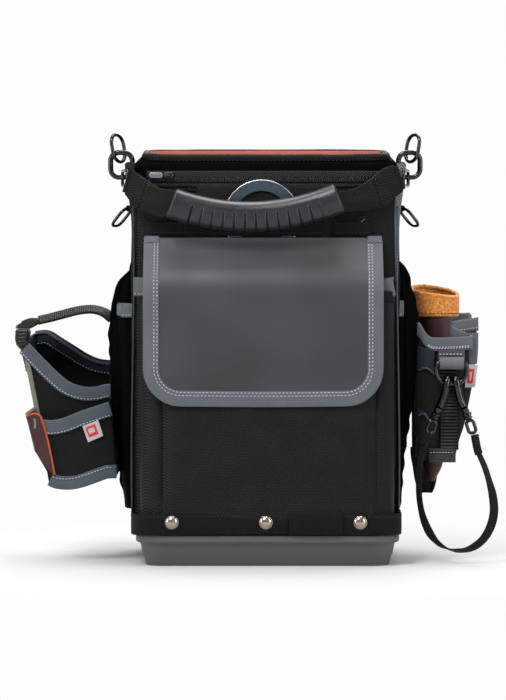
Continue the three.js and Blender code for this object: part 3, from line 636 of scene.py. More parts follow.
def surface(name, shape, nu, nv, thickness, body, finish, side=1, replaces=(), crumple=0.0, scale=30, seed=0,
            closed=False, pin=None):
    """A cloth panel: shape(s, t) gives a point in metres for s and t from 0 to 1. Thickness in millimetres is
    laid on the side given. crumple is the height of its waves in millimetres and pin(s, t) scales them."""
    columns = nu if closed else nu + 1
    grid = [[Vector(shape(i / nu, j / nv)) for j in range(nv + 1)] for i in range(columns)]
    verts, uvs, faces = [], [], []
    for i in range(columns):
        for j in range(nv + 1):
            before = grid[i - 1][j] if (i or closed) else grid[i][j]
            after = grid[(i + 1) % columns][j] if (i + 1 < columns or closed) else grid[i][j]
            rise = grid[i][min(j + 1, nv)] - grid[i][max(j - 1, 0)]
            normal = (after - before).cross(rise).normalized() * side
            point = grid[i][j]
            if crumple:
                wave = noise.noise(point * scale + Vector((seed, seed * 1.7, 0)))
                wave += 0.5 * noise.noise(point * scale * 2.3 + Vector((0, seed, 3.1)))
                share = pin(i / nu, j / nv) if pin else 1.0
                point = point + normal * (wave * crumple * MM * share)
            verts.append(point)
            uvs.append((point.x + point.y, point.z))
    for i in range(nu):
        for j in range(nv):
            a = i * (nv + 1) + j
            b = ((i + 1) % columns) * (nv + 1) + j
            quad = (a, b, b + 1, a + 1)
            faces.append(quad if side > 0 else quad[::-1])
    thing = piece(name, verts, faces, body, finish, uvs, 60, replaces)
    thicken(thing, thickness, 1)
    return thing


def thicken(thing, thickness, offset):
    shell = thing.modifiers.new("thickness", "SOLIDIFY")
    shell.thickness = thickness * MM
    shell.offset = offset
    shell.use_even_offset = offset > 0


BEAD_SIDES = 6


def bead(verts, faces, middles, radii, direction, out):
    """Adds one small closed capsule: a ring of points about each middle."""
    base = len(verts)
    for middle, radius in zip(middles, radii):
        verts += [middle + spoke * radius for spoke in round_about(direction.cross(out), out, BEAD_SIDES)]
    faces += [tuple(base + k for k in reversed(face)) for face in tube_faces(len(radii), BEAD_SIDES)]


# a stitch's rings: (share of its length, share of its radius, height in radii)
STITCH_RINGS = ((0, 0.45, -0.6), (0.22, 1, 0.2), (0.78, 1, 0.2), (1, 0.45, -0.6))


def stitches(name, path, body, finish="thread", length=2.6, gap=1.4, radius=0.45, facing=FRONT, lift=0.3):
    """Thread lying on the cloth: one low rounded stitch after another along the path, in metres."""
    points = even([Vector(p) for p in path], (length + gap) * MM)
    verts, faces = [], []
    for start, stop in zip(points, points[1:]):
        direction = stop - start
        if direction.length < 1e-7:
            continue
        direction.normalize()
        out = facing(start, direction) if callable(facing) else Vector(facing)
        out = square_to(out, direction)
        middles = [start + direction * (share * length * MM) + out * ((lift + rise * radius) * MM)
                   for share, swell, rise in STITCH_RINGS]
        radii = [radius * swell * MM for share, swell, rise in STITCH_RINGS]
        bead(verts, faces, middles, radii, direction, out)
    return piece(name, verts, faces, body, finish, None, 80)


def plate(name, outline, thickness, body, finish, bevel, replaces=(), depth=0.0):
    """A flat plate: outline is (u, v) in millimetres, u along X and v up, its back at y = depth."""
    verts = [at(u, depth + offset, v) for offset in (0.0, -thickness) for u, v in outline]
    n = len(outline)
    faces = [tuple(range(n)), tuple(n + k for k in reversed(range(n)))]
    faces += [(k, n + k, n + (k + 1) % n, (k + 1) % n) for k in range(n)]
    thing = face_outward(piece(name, verts, faces, body, finish, [(v.x, v.z) for v in verts], 35, replaces))
    edge = thing.modifiers.new("edge", "BEVEL")
    edge.width = bevel * MM
    edge.segments = 2
    edge.limit_method = "ANGLE"
    return thing


def lathe(name, profile, centre, axis, body, finish, sides=40, replaces=()):
    """A turned piece: profile is (radius, height) in millimetres, from the middle of its top to its rim."""
    axis = Vector(axis).normalized()
    u = axis.orthogonal().normalized()
    spokes = round_about(u, axis.cross(u), sides)
    verts = [Vector(centre) + axis * profile[0][1] * MM]
    for radius, height in profile[1:]:
        verts += [Vector(centre) + spoke * radius * MM + axis * height * MM for spoke in spokes]
    faces = [(0, 1 + k, 1 + (k + 1) % sides) for k in range(sides)]
    for row in range(len(profile) - 2):
        a = 1 + row * sides
        for k in range(sides):
            m = (k + 1) % sides
            faces.append((a + k, a + sides + k, a + sides + m, a + m))
    last = 1 + (len(profile) - 2) * sides
    faces.append(tuple(last + k for k in reversed(range(sides))))
    return face_outward(piece(name, verts, faces, body, finish, None, 40, replaces))


def loft(name, loops, body, finish, replaces=(), sharp=40):
    """A skin over closed loops of the same number of points, closed at both ends."""
    verts = [v for loop in loops for v in loop]
    uvs = [(v.x + v.y, v.z) for v in verts]
    faces = tube_faces(len(loops), len(loops[0]))
    return face_outward(piece(name, verts, faces, body, finish, uvs, sharp, replaces))


def level_loop(low, high, corner, z, inset=0.0, per_corner=8):
    """A rounded rectangle at height z inside a box, as points in metres; its own sizes are in millimetres."""
    width, depth = high[0] - low[0] - 2 * inset, high[1] - low[1] - 2 * inset
    cx, cy = (low[0] + high[0]) / 2, (low[1] + high[1]) / 2
    outline = rounded_loop(width, depth, max(corner - inset, 2), per_corner)
    return [at(cx + u, cy + v, z) for u, v in outline]


def level_path(low, high, narrower, corner, step, per_corner=8):
    """Evenly spaced points in metres, round a rounded rectangle at height 0, narrower than the box."""
    cx, cy = (low[0] + high[0]) / 2, (low[1] + high[1]) / 2
    outline = rounded_loop(high[0] - low[0] - narrower, high[1] - low[1] - narrower, corner, per_corner)
    points = [at(cx + u, cy + v, 0) for u, v in outline]
    return even(points + points[:1], step * MM, True)


def points_mm(*places):
    """Points given in millimetres."""
    return [at(*place) for place in places]


# ------------------------------------------------------------------ base, skirt band and rivets

def base_tray():
    """Moulded tray: a thick lip over a bowl that narrows to the floor in two soft steps, and its board."""
    low, high = box_mm("base_tray")
    tray_corner, board_corner, board_edge = 26, 16, 0.5
    # (height, inset) up the outside, over the lip and down the inside
    levels = [(0.0, 10.5), (0.9, 9.6), (9.0, 7.6), (10.2, 6.6), (20.5, 4.4), (21.6, 3.9), (22.2, 1.2),
              (23.0, 0.4), (24.2, 0.0), (28.8, 0.0), (29.7, 0.5), (30.0, 1.4), (30.0, 8.0), (28.0, 8.6),
              (6.0, 13.0)]
    loops = [level_loop(low, high, tray_corner, z, inset, 10) for z, inset in levels]
    loft("base_tray_shell", loops, "bag", "moulding", ["base_tray"], 35)
    low, high = box_mm("bottom_board")
    levels = ((low[2], board_edge), (low[2] + board_edge, 0), (high[2] - board_edge, 0), (high[2], board_edge))
    board = [level_loop(low, high, board_corner, z, inset) for z, inset in levels]
    loft("bottom_board_sheet", board, "bag", "board", ["bottom_board"])


def band_height(x, base, rise):
    """The band's edge bows up towards the middle of each side; all in millimetres."""
    half_width = 130
    return base + rise * (1 - min(1.0, abs(x) / half_width) ** 2)


def skirt_band():
    low, high = box_mm("skirt_band")
    thickness, middle_z, bow, seam_up = 1.9, 40.0, 1.2, 7.4
    path = level_path(low, high, 3.4, 20, 3, 10)
    for point in path:
        point.z = band_height(point.x / MM, middle_z, bow) * MM
    section = strap_section(20.5, thickness, 0.15)
    sweep("skirt_band_webbing", path, section, level_outward, "bag", "band", True, 50, ["skirt_band"])
    # the webbing's end, lapped over its start right of the middle
    lap = [at(x, low[1] - 0.1, band_height(x, middle_z + 0.2, 1.6)) for x in range(20, 74, 3)]
    sweep("skirt_band_lap", lap, strap_section(21.5, 1.4, 0.1), FRONT, "bag", "band")
    seam = [point + at(0, 0, seam_up) + level_outward(point, tangent) * thickness * MM
            for point, tangent in zip(path, tangents(path, True))]
    seam.append(seam[0])
    stitches("skirt_band_stitches", seam, "bag", "dark_thread", 2.4, 1.4, 0.35, level_outward, 0.1)


def rivets():
    """A domed cap on every rivet, its foot on the band and its top outwards."""
    profile = [(0, 3.1), (1.6, 3.02), (3.2, 2.65), (4.6, 1.95), (5.5, 1.15), (5.9, 0.6), (6.1, 0.45),
               (6.4, 0.4), (6.45, 0.1), (6.2, -0.9), (5, -0.9)]
    aims = {"front": FRONT, "back": (0, 1, 0), "side_left": (-1, 0, 0), "side_right": (1, 0, 0)}
    for node in sorted(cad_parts):
        if not node.startswith("rivet_"):
            continue
        aim = Vector(next(way for key, way in aims.items() if node.startswith("rivet_" + key)))
        low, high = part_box(node)
        middle = (low + high) / 2
        foot = Vector([low[k] if aim[k] > 0 else high[k] if aim[k] < 0 else middle[k] for k in range(3)])
        lathe(node + "_cap", profile, foot, aim, "bag", "nickel", 48, [node])


# ------------------------------------------------------------------ body

SIDES = (("left", -1), ("right", 1))


def front_wall():
    """The front panel, and the wall behind the zip at the mouth."""
    low, high = box_mm("front_panel")
    overlap, turn = 3, 5

    def front(s, t):
        x = low[0] - overlap + (high[0] - low[0] + 2 * overlap) * s
        z = low[2] + (high[2] - low[2]) * t
        puff = 0.6 * arch(s) * arch(t)
        edge = turn * (1 - ease(min(s, 1 - s), 0, 0.035)) ** 2
        return at(x, low[1] - puff + edge, z)

    surface("front_panel_cloth", front, 80, 60, 2.6, "bag", "nylon_twill", 1, ["front_panel"], 0.8, 22, 3)
    (left, face, _), (right, _, top) = box_mm("inner_front_panel")
    foot = 350

    def mouth_wall(s, t):
        return at(left + (right - left) * s, face, foot + (top - foot) * t)

    # the wall behind the zip is painted far darker than the front panel, as the shade under the rim roll
    surface("mouth_wall_cloth", mouth_wall, 60, 10, 2.6, "bag", "nylon_deep", 1, ["inner_front_panel"], 0.5,
            25, 5)


def back_wall():
    """The back panel, carried a little way round both rear corners."""
    low, high = box_mm("back_panel")
    corner = 15
    reach = (high[0] - low[0]) / 2 - corner
    run = 2 * reach + corner * math.pi
    cx = (low[0] + high[0]) / 2

    def back(s, t):
        z = low[2] + (high[2] - low[2]) * t
        place = (s - 0.5) * run
        side = 1 if place >= 0 else -1
        over = abs(place) - reach
        puff = 3.0 * math.cos(math.pi * min(1, abs(place) / run * 1.02)) * arch(t) ** 0.7
        if over <= 0:
            return at(cx - place, high[1] + puff - 1, z)
        angle = over / corner
        y = high[1] + puff - 1 - (corner - 1) * (1 - math.cos(angle))
        return at(cx - side * (reach + corner * math.sin(angle)), y, z)

    surface("back_panel_cloth", back, 96, 70, 2.8, "bag", "nylon", 1, ["back_panel"], 1.6, 16, 11)


def side_wall(name, side):
    """A side panel, flatter near the rim, and the piping along its front corner."""
    low, high = box_mm(f"{name}_panel")
    wall = low[0] if side < 0 else high[0]
    rear, fore = high[1] + 1, low[1]
    cut_y, cut = -52, 16  # the panel's top is lower behind the front corner's braid

    def shape(s, t):
        y = rear + (fore - rear) * s if side < 0 else fore + (rear - fore) * s
        top = high[2] - (cut if y < cut_y else 0)
        z = low[2] + (top - low[2]) * t
        puff = 2.2 * arch(s) * arch(t) ** 0.6 * (1 - 0.85 * ease(z, 250, 310))
        return at(wall + side * (puff + 0.2), y, z)

    surface(f"{name}_panel_cloth", shape, 50, 70, 2.8, "bag", "nylon", 1, [f"{name}_panel"], 1.4, 20, 7 + side)
    piping = [at(wall + side * (1.6 + 1.2 * math.sin(z / 60)), low[1] - 1.5, z) for z in range(54, 345, 10)]
    finish = "binding_deep" if side > 0 else "webbing_grey"
    wire(f"{name}_corner_piping", piping, 1.0, "bag", finish, step=2.5, sides=10)


def lining():
    """The lining hung inside the walls, drawn in a little near its top, and its floor."""
    low, high = box_mm("lining")
    cx, cy = (low[0] + high[0]) / 2, (low[1] + high[1]) / 2
    corner, per_corner, top_over = 25, 6, 4.0
    path = level_path(low, high, 1, corner, 5, per_corner)

    def inner(s, t):
        point = path[round(s * len(path)) % len(path)]
        drawn_in = 1 - 0.034 * ease(t, 0.92, 1)
        z = low[2] + 0.5 + (high[2] + top_over + rim_rise(point.y / MM) - low[2]) * t
        return at(cx + (point.x / MM - cx) * drawn_in, cy + (point.y / MM - cy) * drawn_in, z)

    surface("lining_cloth", inner, len(path), 50, 0.8, "bag", "lining", -1, ["lining"], 1.6, 18, 21, True)
    outline = rounded_loop(high[0] - low[0] - 1, high[1] - low[1] - 1, corner, per_corner)
    floor = [at(cx + u * 0.985, cy + v * 0.98, low[2] + 1.2) for u, v in outline]
    below = [p - at(0, 0, 0.8) for p in floor]
    loft("lining_floor", [below, floor], "bag", "lining")


def divider():
    """The panel across the inside, with a row of pockets on its front."""
    low, high = box_mm("centre_panel")
    back = high[1]

    def panel(s, t):
        x = low[0] + (high[0] - low[0]) * s
        z = low[2] + (high[2] - low[2]) * t
        sag = (9 + 3.0 * arch(s)) * ease(t, 0.5, 1)
        return at(x, back - 1.8 + 0.9 * math.sin(6 * math.pi * s) * (1 - t), z - sag * t)

    surface("centre_panel_cloth", panel, 60, 60, 1.8, "bag", "lining", 1, ["centre_panel"], 1.0, 20, 31)
    edge = [panel(s / 40, 1) + at(0, 0.9, -1) for s in range(41)]
    strap("centre_panel_binding", edge, 9, 3.4, FRONT, "bag", "lining_binding", 4)

    top, fore, half_width, cells, columns = 190, -5, 108, 4, 96

    def pocket(s, t):
        out = abs(math.sin(math.pi * s * cells)) ** 0.55
        y = back - 4 - (back - 4 - fore) * out
        return at(half_width * (2 * s - 1), y, low[2] + (top - low[2] - 2 + 3 * out) * t)

    surface("inner_pocket_cloth", pocket, columns, 30, 1.6, "bag", "lining", 1, (), 0.6, 25, 33)
    mouth = [pocket(s / columns, 1) + at(0, 0.3, -3) for s in range(columns + 1)]

    def outward(point, tangent):
        return level_outward(point, tangent) if tangent.x > 0 else Vector(FRONT)

    strap("inner_pocket_binding", mouth, 9, 3.0, outward, "bag", "lining_binding", None)


def rim_rise(y):
    """How much higher the mouth is at the rear than at the front, in millimetres."""
    return (y + 55) * 0.075


def rim_roll():
    """Padded roll round the mouth, sagging in front and thin at the rear, with a collar under it."""
    low, high = box_mm("rim_roll")
    thick = 7.6
    path = level_path(low, high, thick, 19, 2.5)
    for point in path:
        x, y = point.x / MM, point.y / MM
        dip = 1.6 * (1 - ease(y, -70, -30)) * max(0, 1 - (x / 112) ** 2)
        point.z = (low[2] + 4.2 - dip + rim_rise(y) + 0.5 * noise.noise(point * 25)) * MM

    def swell(share):
        lump = noise.noise(Vector((share * 40, 3.3, 0)))
        place = path[min(len(path) - 1, round(share * (len(path) - 1)))].y / MM
        slim = 1 - 0.70 * ease(place, 10, 80)
        return slim * (1 + 0.10 * lump), slim * (1 + 0.08 * lump)

    section = round_section(thick / 2 * MM, 20)
    roll = sweep("rim_roll_padding", path, section, (0, 0, 1), "bag", "nylon", True, 80, ["rim_roll"], swell)
    normals = [level_outward(p, t) for p, t in zip(path, tangents(path, True))]

    def collar(s, t):
        """Closes the ledge between the walls' top edge and the roll. In front it only drops behind it."""
        k = round(s * len(path)) % len(path)
        normal = normals[k].normalized()
        behind = ease(path[k].y / MM, -54, -36)
        flare = behind * (7.2 * abs(normal.x) + 3.6 * max(0, normal.y))
        foot = (low[2] - 6 + 4.4 * behind) * MM
        top = path[k] + normals[k] * (thick / 2 * MM * 0.55)
        out = top + normal * (flare * (1 - t) * MM)
        return Vector((out.x, out.y, foot + (top.z - foot) * t))

    # the collar is painted far darker than the walls, as the shade under the roll
    surface("rim_collar", collar, len(path), 4, 1.2, "bag", "nylon_deep", 1, (), 0, 20, 0, True)
    seam = [p + normal * (thick / 2 * MM) - at(0, 0, 2.2) for p, normal in zip(path, normals)]
    stitches("rim_roll_stitches", seam + [seam[0]], "bag", "dark_thread", 2.6, 1.4, 0.35, level_outward, 0.0)


# ------------------------------------------------------------------ zip and fittings above the flap

def zipper_coil(low, high):
    """The zip's coil: slanted turns seen as a chain."""
    face = low[1]
    pitch, radius, end_gap = 2.1, 0.62, 2
    rings = ((0, 0.6), (0.25, 1), (0.75, 1), (1, 0.6))
    verts, faces = [], []
    for k in range(int((high[0] - low[0] - 2 * end_gap) / pitch)):
        x = low[0] + end_gap + k * pitch
        for lean, z0, z1 in ((0.9, low[2] + 0.6, low[2] + 2.9), (-0.9, low[2] + 2.5, low[2] + 4.8)):
            start, end = at(x - lean, face + 0.5, z0), at(x + lean, face + 0.1, z1)
            middles = [start.lerp(end, share) for share, swell in rings]
            radii = [radius * swell * MM for share, swell in rings]
            bead(verts, faces, middles, radii, (end - start).normalized(), Vector(FRONT))
    coil = piece("zipper_coil", verts, faces, "bag", "plastic", None, 80, ["zipper_track"])


def zipper():
    low, high = box_mm("zipper_track")
    # the tape band that carries the zip, folded forward a little over the coil
    rows = (("upper", high[2] - 3.2, 6.6, "braid_dark"), ("lower", low[2] + 1.4, 3.2, "band"))
    for name, z, width, finish in rows:
        tape = [at(x, high[1] - 0.2, z) for x in (low[0], (low[0] + high[0]) / 2, high[0])]
        strap(f"zipper_tape_{name}", tape, width, 1.6, FRONT, "bag", finish, 8)
    zipper_coil(low, high)

    low, high = box_mm("zipper_slider")
    cx, cz = (low[0] + high[0]) / 2 + 0.5, (low[2] + high[2]) / 2
    outline = [(cx + u * (1.0 if u < 0 else 0.86), cz + v) for u, v in rounded_loop(9, 6.4, 2)]
    thickness = high[1] - low[1]
    plate("zipper_slider_body", outline, thickness, "slider", "gunmetal", 0.8, ["zipper_slider"], high[1])
    crest = ((-5.2, 0.7), (-4.6, -0.3), (-2.4, -0.9), (0, -0.5), (1.4, 0.6))
    bridge = [at(cx + u, low[1] + y, cz) for u, y in crest]
    wire("zipper_slider_bridge", bridge, 0.6, "slider", "gunmetal", step=0.5)

    low, high = box_mm("zipper_pull")
    cx, cz = (low[0] + high[0]) / 2, (low[2] + high[2]) / 2
    outline = [(cx + u, cz + v) for u, v in rounded_loop(high[0] - low[0], high[2] - low[2], 1.9)]
    plate("zipper_pull_tab", outline, high[1] - low[1], "pull", "zinc", 0.45, ["zipper_pull"], high[1])


def steel_ring():
    """The flat steel ring behind the grip, with a bright steel wire round its front edge as a painted highlight.
    """
    low, high = box_mm("steel_ring")
    cx, cz = (low[0] + high[0]) / 2, (low[2] + high[2]) / 2
    outer, hole = (high[0] - low[0]) / 2, 25.6
    face, rear = low[1], high[1]
    steps = 120
    spokes = [(math.cos(2 * math.pi * k / steps), math.sin(2 * math.pi * k / steps)) for k in range(steps)]
    section = [(outer - 0.2, rear), (outer, rear - 0.4), (outer, face + 0.5), (outer - 0.5, face),
               (hole + 0.6, face), (hole, face + 0.5), (hole, rear - 0.3), (hole + 0.4, rear)]
    verts = [at(cx + r * c, y, cz + r * s) for c, s in spokes for r, y in section]
    faces = tube_faces(steps, len(section), True)
    face_outward(piece("steel_ring_plate", verts, faces, "bag", "steel", None, 30, ["steel_ring"]))
    # a thin wire of bright steel round the front edge: painted highlight
    rim = [at(cx + (outer - 0.55) * c, face - 0.05, cz + (outer - 0.55) * s) for c, s in spokes]
    wire("steel_ring_painted_highlight_rim", rim, 0.55, "bag", "bright", True, None, 8)


def steel_disc(name, arc_start, arc_stop):
    """A dark disc with a turned edge, a bright steel arc on its rim as a painted highlight, and two rolls of
    cloth over it.
    """
    low, high = box_mm(f"steel_disc_{name}")
    cx, cz = (low[0] + high[0]) / 2, (low[2] + high[2]) / 2
    radius = (high[0] - low[0]) / 2
    profile = [(0, 0.6), (radius - 4, 0.7), (radius - 2.4, 1.1), (radius - 1, 1.9), (radius - 0.2, 1.6),
               (radius, 0.9), (radius, 0), (radius - 1, 0)]
    centre = at(cx, high[1], cz)
    lathe(f"steel_disc_{name}_plate", profile, centre, FRONT, "bag", "plastic", 64, [f"steel_disc_{name}"])
    # the painted highlight: an arc of bright steel just inside the rim, from arc_start to arc_stop in degrees
    steps, wear_and_painted_highlight = 24, radius - 0.4
    angles = [math.radians(arc_start + (arc_stop - arc_start) * k / steps) for k in range(steps + 1)]
    arc = [at(cx + wear_and_painted_highlight * math.cos(a), low[1] - 0.1, cz + wear_and_painted_highlight * math.sin(a)) for a in angles]
    wire(f"steel_disc_{name}_painted_highlight_rim", arc, 0.4, "bag", "bright", False, None, 8)
    half = 18.5
    steps_across = (-half, -half / 2, 0, half / 2, half)
    for row, z in enumerate((359.2, 363.2)):
        roll = [at(cx - 1.5 + u, low[1] - 0.6, z + 0.35 * math.sin(u * 0.2)) for u in steps_across]
        wire(f"loop_roll_{name}_{row}", roll, 1.9, "bag", "nylon", step=2.5, sides=12)


def front_webbing():
    """Webbing sewn across the panel in blocks under the grip, with a gap right of the middle."""
    y = box_mm("steel_ring")[0][1] + 1.2
    middle_z, bow = 322.1, 1.6
    for k, (x0, x1) in enumerate(((-112, -58), (-57, -2), (-1, 54), (64, 100))):
        middle = (x0 + x1) / 2
        block = points_mm((x0, y, middle_z), (middle, y - bow, middle_z), (x1, y, middle_z))
        strap(f"panel_webbing_{k}", block, 13.4, 1.8, FRONT, "bag", "band", 3)
        for edge, z in (("upper", 327), ("lower", 318.4)):
            seam = points_mm((x0 + 1.5, y - 1.9, z), (middle, y - 3.4, z), (x1 - 1.5, y - 1.9, z))
            stitches(f"panel_webbing_{k}_{edge}_stitches", seam, "bag", "dark_thread", 2.2, 1.3, 0.35,
                     lift=0.1)
    for k, x in enumerate((-84, 78)):
        rows = [at(x, y - 0.2, z) for z in (332, 340, 350, 357)]
        strap(f"disc_webbing_{k}", rows, 24, 1.7, FRONT, "bag", "band", 3)


# ------------------------------------------------------------------ front pocket and flap

# the pocket's outline seen from above, from its left rear edge round to its right rear edge
POCKET_OUTLINE = ((-119.5, -61), (-119.5, -70), (-118.5, -80), (-113.5, -87.5), (-106, -90.5), (-100, -89.0),
                  (-95, -93.2), (-80, -94.6), (-40, -95.6), (0, -96), (40, -95.6), (82, -94.6), (98, -93.2),
                  (102.5, -89.0), (108, -90.5), (114.5, -87.5), (118, -80), (118.6, -70), (118.6, -61))


def pocket_point(s, z, out=0.0):
    """A place on the front pocket's outside: s goes round from its left rear edge to its right rear edge."""
    last = len(POCKET_OUTLINE) - 1
    k = min(int(s * last), last - 1)
    four = [POCKET_OUTLINE[max(0, min(last, k + d))] for d in (-1, 0, 1, 2)]
    x, y = (catmull_rom([place[i] for place in four], s * last - k) for i in (0, 1))
    fade = ease(z, 50, 72) * (1 - 0.4 * ease(z, 150, 240))
    pleats = (1 - fade) * 3.0 * (bump_at(x, -100, 5) + bump_at(x, 102.5, 5))
    seams = 0.9 * fade * (bump_at(x, -96, 4) + bump_at(x, 99, 4))
    belly = 1.6 * bump_at(z, 95, 50) * bump_at(x, 0, 95)
    tuck = 1.8 * (1 - ease(z, 31, 58)) * bump_at(x, 0, 140)
    return at(x, y - pleats + seams - belly + tuck - out, z)


def front_pocket():
    low, high = box_mm("front_pocket")
    foot, columns = low[2] + 12, 150
    surface("front_pocket_cloth", lambda s, t: pocket_point(s, foot + (high[2] - foot) * t), columns, 90, 2.6,
            "bag", "nylon_twill", 1, ["front_pocket"], 0.9, 26, 41,
            pin=lambda s, t: min(1.0, 6 * t) * min(1.0, 5 * (1 - t)))
    rim = [pocket_point(s / columns, high[2] - 5.5) + at(0, 0.9, 0) for s in range(columns + 1)]
    strap("front_pocket_binding", rim, 12.5, 3.6, level_outward, "bag", "band", None)
    for side, s in (("left", 0.16), ("right", 0.84)):
        seam = [pocket_point(s, z, 0.2) for z in range(66, 255, 8)]
        stitches(f"front_pocket_{side}_edge_stitches", seam, "bag", "dark_thread", 2.6, 1.3, 0.4)
    # slanted seams that close the pleats at the bottom
    tucks = {"left": ((-112.3, 66), (-117, 60), (-119.5, 51)), "right": ((104, 63), (112, 60), (118, 50))}
    samples = 300
    for side, points in tucks.items():
        path = []
        for x, z in points:
            level = [pocket_point(k / samples, z) for k in range(samples + 1)]
            path.append(min(level, key=lambda p, x=x: abs(p.x - x * MM)) + at(0, -0.6, 0))
        wire(f"front_pocket_{side}_tuck_seam", path, 0.9, "bag", "nylon", step=1.5, sides=8)


def tab(name, x0, x1, z0, z1, y, lean=0.0):
    """A short folded tab of tape with a rolled upper edge and a row of stitches."""
    middle = (z0 + z1) / 2
    tape = points_mm((x0, y, middle), ((x0 + x1) / 2, y - 0.5, middle + lean / 2), (x1, y, middle + lean))
    strap(name, tape, z1 - z0, 2.0, FRONT, "bag", "tab", 2)
    rolled = points_mm((x0, y - 1.2, z1 - 0.8), (x1, y - 1.2, z1 - 0.8 + lean))
    wire(f"{name}_rolled_edge", rolled, 1.1, "bag", "binding", step=2, sides=8)
    seam = points_mm((x0 + 1, y - 2.2, z0 + 2.2), (x1 - 0.5, y - 2.2, z0 + 2.2 + lean))
    stitches(f"{name}_stitches", seam, "bag", "thread", 1.9, 1.2, 0.4)


def tabs():
    tab("pocket_tab_left", -128, -113, 258, 275.5, -84)
    tab("pocket_tab_right", 104, 120.5, 255, 273, -84, lean=3)
    tab("side_tab_left", -141, -128, 237, 250, -56)
    tab("side_tab_right", 120.5, 131, 238, 253, -56)


# the flap leaves its hinge on a slope, then hangs straight down
FLAP_HINGE_Y = -67.6
FLAP_SLOPE_RUN, FLAP_SLOPE_FALL = 31.9, 41
FLAP_DROP = 170.5
FLAP_CORNER = 36


def flap_point(x, drop, out=0.0):
    """A place on the flap's outside; drop is the length down from its folded top edge."""
    low, high = box_mm("front_flap")
    run, fall, top = FLAP_SLOPE_RUN, FLAP_SLOPE_FALL, high[2]
    slope = math.hypot(run, fall)
    soft = 14
    across = (x - (low[0] + high[0]) / 2) / (high[0] - low[0])
    if drop < slope - soft:
        y, z = FLAP_HINGE_Y - run * drop / slope, top - fall * drop / slope
        normal = Vector((0, -fall, run)).normalized()
    elif drop > slope + soft:
        y, z = FLAP_HINGE_Y - run, top - fall - (drop - slope)
        normal = Vector(FRONT)
    else:
        f = (drop - slope + soft) / (2 * soft)
        start = Vector((0, FLAP_HINGE_Y - run * (slope - soft) / slope, top - fall * (slope - soft) / slope))
        corner = Vector((0, FLAP_HINGE_Y - run, top - fall))
        end = corner - Vector((0, 0, soft))
        point = start.lerp(corner, f).lerp(corner.lerp(end, f), f)
        y, z = point.y, point.z
        normal = Vector((0, -fall * (1 - f) - f * slope, run * (1 - f))).normalized()
    # a shallow hollow across the middle and creases running in from the left edge
    wave = 0.9 * math.cos(across * 5.2) * bump_at(drop, 110, 40)
    wave += 0.8 * bump_at(drop, 128, 16) * ease(-across, -0.1, 0.42)
    wave -= 0.6 * bump_at(drop, 100, 14) * ease(-across, -0.2, 0.4)
    wave += 0.5 * bump_at(drop, 120, 18) * ease(across, 0.05, 0.4)
    return at(x, y, z) + normal * (wave + out) * MM


def flap_outline(inset):
    """The flap's edge from top left, round its lower corners, to top right, as (x, drop)."""
    low, high = box_mm("front_flap")
    left, right = low[0] + inset, high[0] - inset
    bottom, corner = FLAP_DROP - inset, FLAP_CORNER - inset
    straight = int(bottom - corner)
    turn = [math.pi / 2 * k / 12 for k in range(13)]
    span = right - left - 2 * corner
    points = [(left, drop) for drop in range(0, straight, 5)]
    points += [(left + corner * (1 - math.cos(a)), bottom - corner * (1 - math.sin(a))) for a in turn]
    points += [(left + corner + span * k / 24, bottom + 0.6 * arch(k / 24)) for k in range(1, 24)]
    points += [(right - corner * (1 - math.sin(a)), bottom - corner * (1 - math.cos(a))) for a in turn]
    return points + [(right, drop) for drop in range(straight - 5, -1, -5)]


def flap_outward(point, tangent):
    """The flap's outward direction: square to the slope near the hinge, to the front below."""
    slope = Vector((0, -FLAP_SLOPE_FALL, FLAP_SLOPE_RUN)).normalized()
    return Vector(FRONT).lerp(slope, ease(point.z / MM, 262, 282))


def front_flap():
    """The flap's sheet, its bound edge on both faces, and two rows of stitches."""
    low, high = box_mm("front_flap")
    middle = (low[0] + high[0]) / 2
    corner, length = FLAP_CORNER - 0.5, FLAP_DROP - 0.5

    def sheet(s, t):
        drop = length * (1 - t)
        over = max(0.0, drop - (length - corner))
        half = (high[0] - low[0]) / 2 - 0.5 - (corner - math.sqrt(max(0.0, corner ** 2 - over ** 2)))
        return flap_point(middle + half * (2 * s - 1), drop)

    flap = surface("front_flap_sheet", sheet, 90, 90, 1.6, "flap", "vinyl", 1, ["front_flap"])
    tape_width = 15
    path = even([flap_point(x, d, 1.3) for x, d in flap_outline(tape_width / 2)], 2.2 * MM)
    front = strap_section(tape_width, 1.1, 0.25)
    tape = sweep("front_flap_binding", path, front, flap_outward, "flap", "binding")
    behind = [p + at(0, 4.4, 0) for p in path]
    rear = strap_section(tape_width - 3, 1.6)
    back = sweep("front_flap_binding_back", behind, rear, flap_outward, "flap", "binding")
    for name, inset in (("inner", tape_width - 1.6), ("outer", tape_width - 4.6)):
        line = [flap_point(x, d, 2.5) for x, d in flap_outline(inset)]
        stitches(f"front_flap_{name}_stitches", line, "flap", "thread", 2.3, 1.3, 0.36,
                              flap_outward, 0.1)
    # lapped tape ends at the top corners
    for side, x in (("left", low[0] + 7.4), ("right", high[0] - 7.4)):
        end = [flap_point(x, d, 2.4) for d in (0, 3, 7.5)]
        strap(f"front_flap_{side}_tape_end", end, 13.5, 1.3, flap_outward, "flap", "binding", 2)


# ------------------------------------------------------------------ handle

def grip_centre(t):
    """The grip's centre line from left to right, sagging in the middle, in millimetres."""
    low, high = box_mm("handle_grip")
    left, right = low[0] + 5, high[0] - 5
    left_z, right_z, middle_z = 347, 351.5, 333.5
    line = left_z + (right_z - left_z) * t
    sag = (left_z + right_z) / 2 - middle_z
    return Vector((left + (right - left) * t, (low[1] + high[1]) / 2, line - 4 * sag * t * (1 - t)))


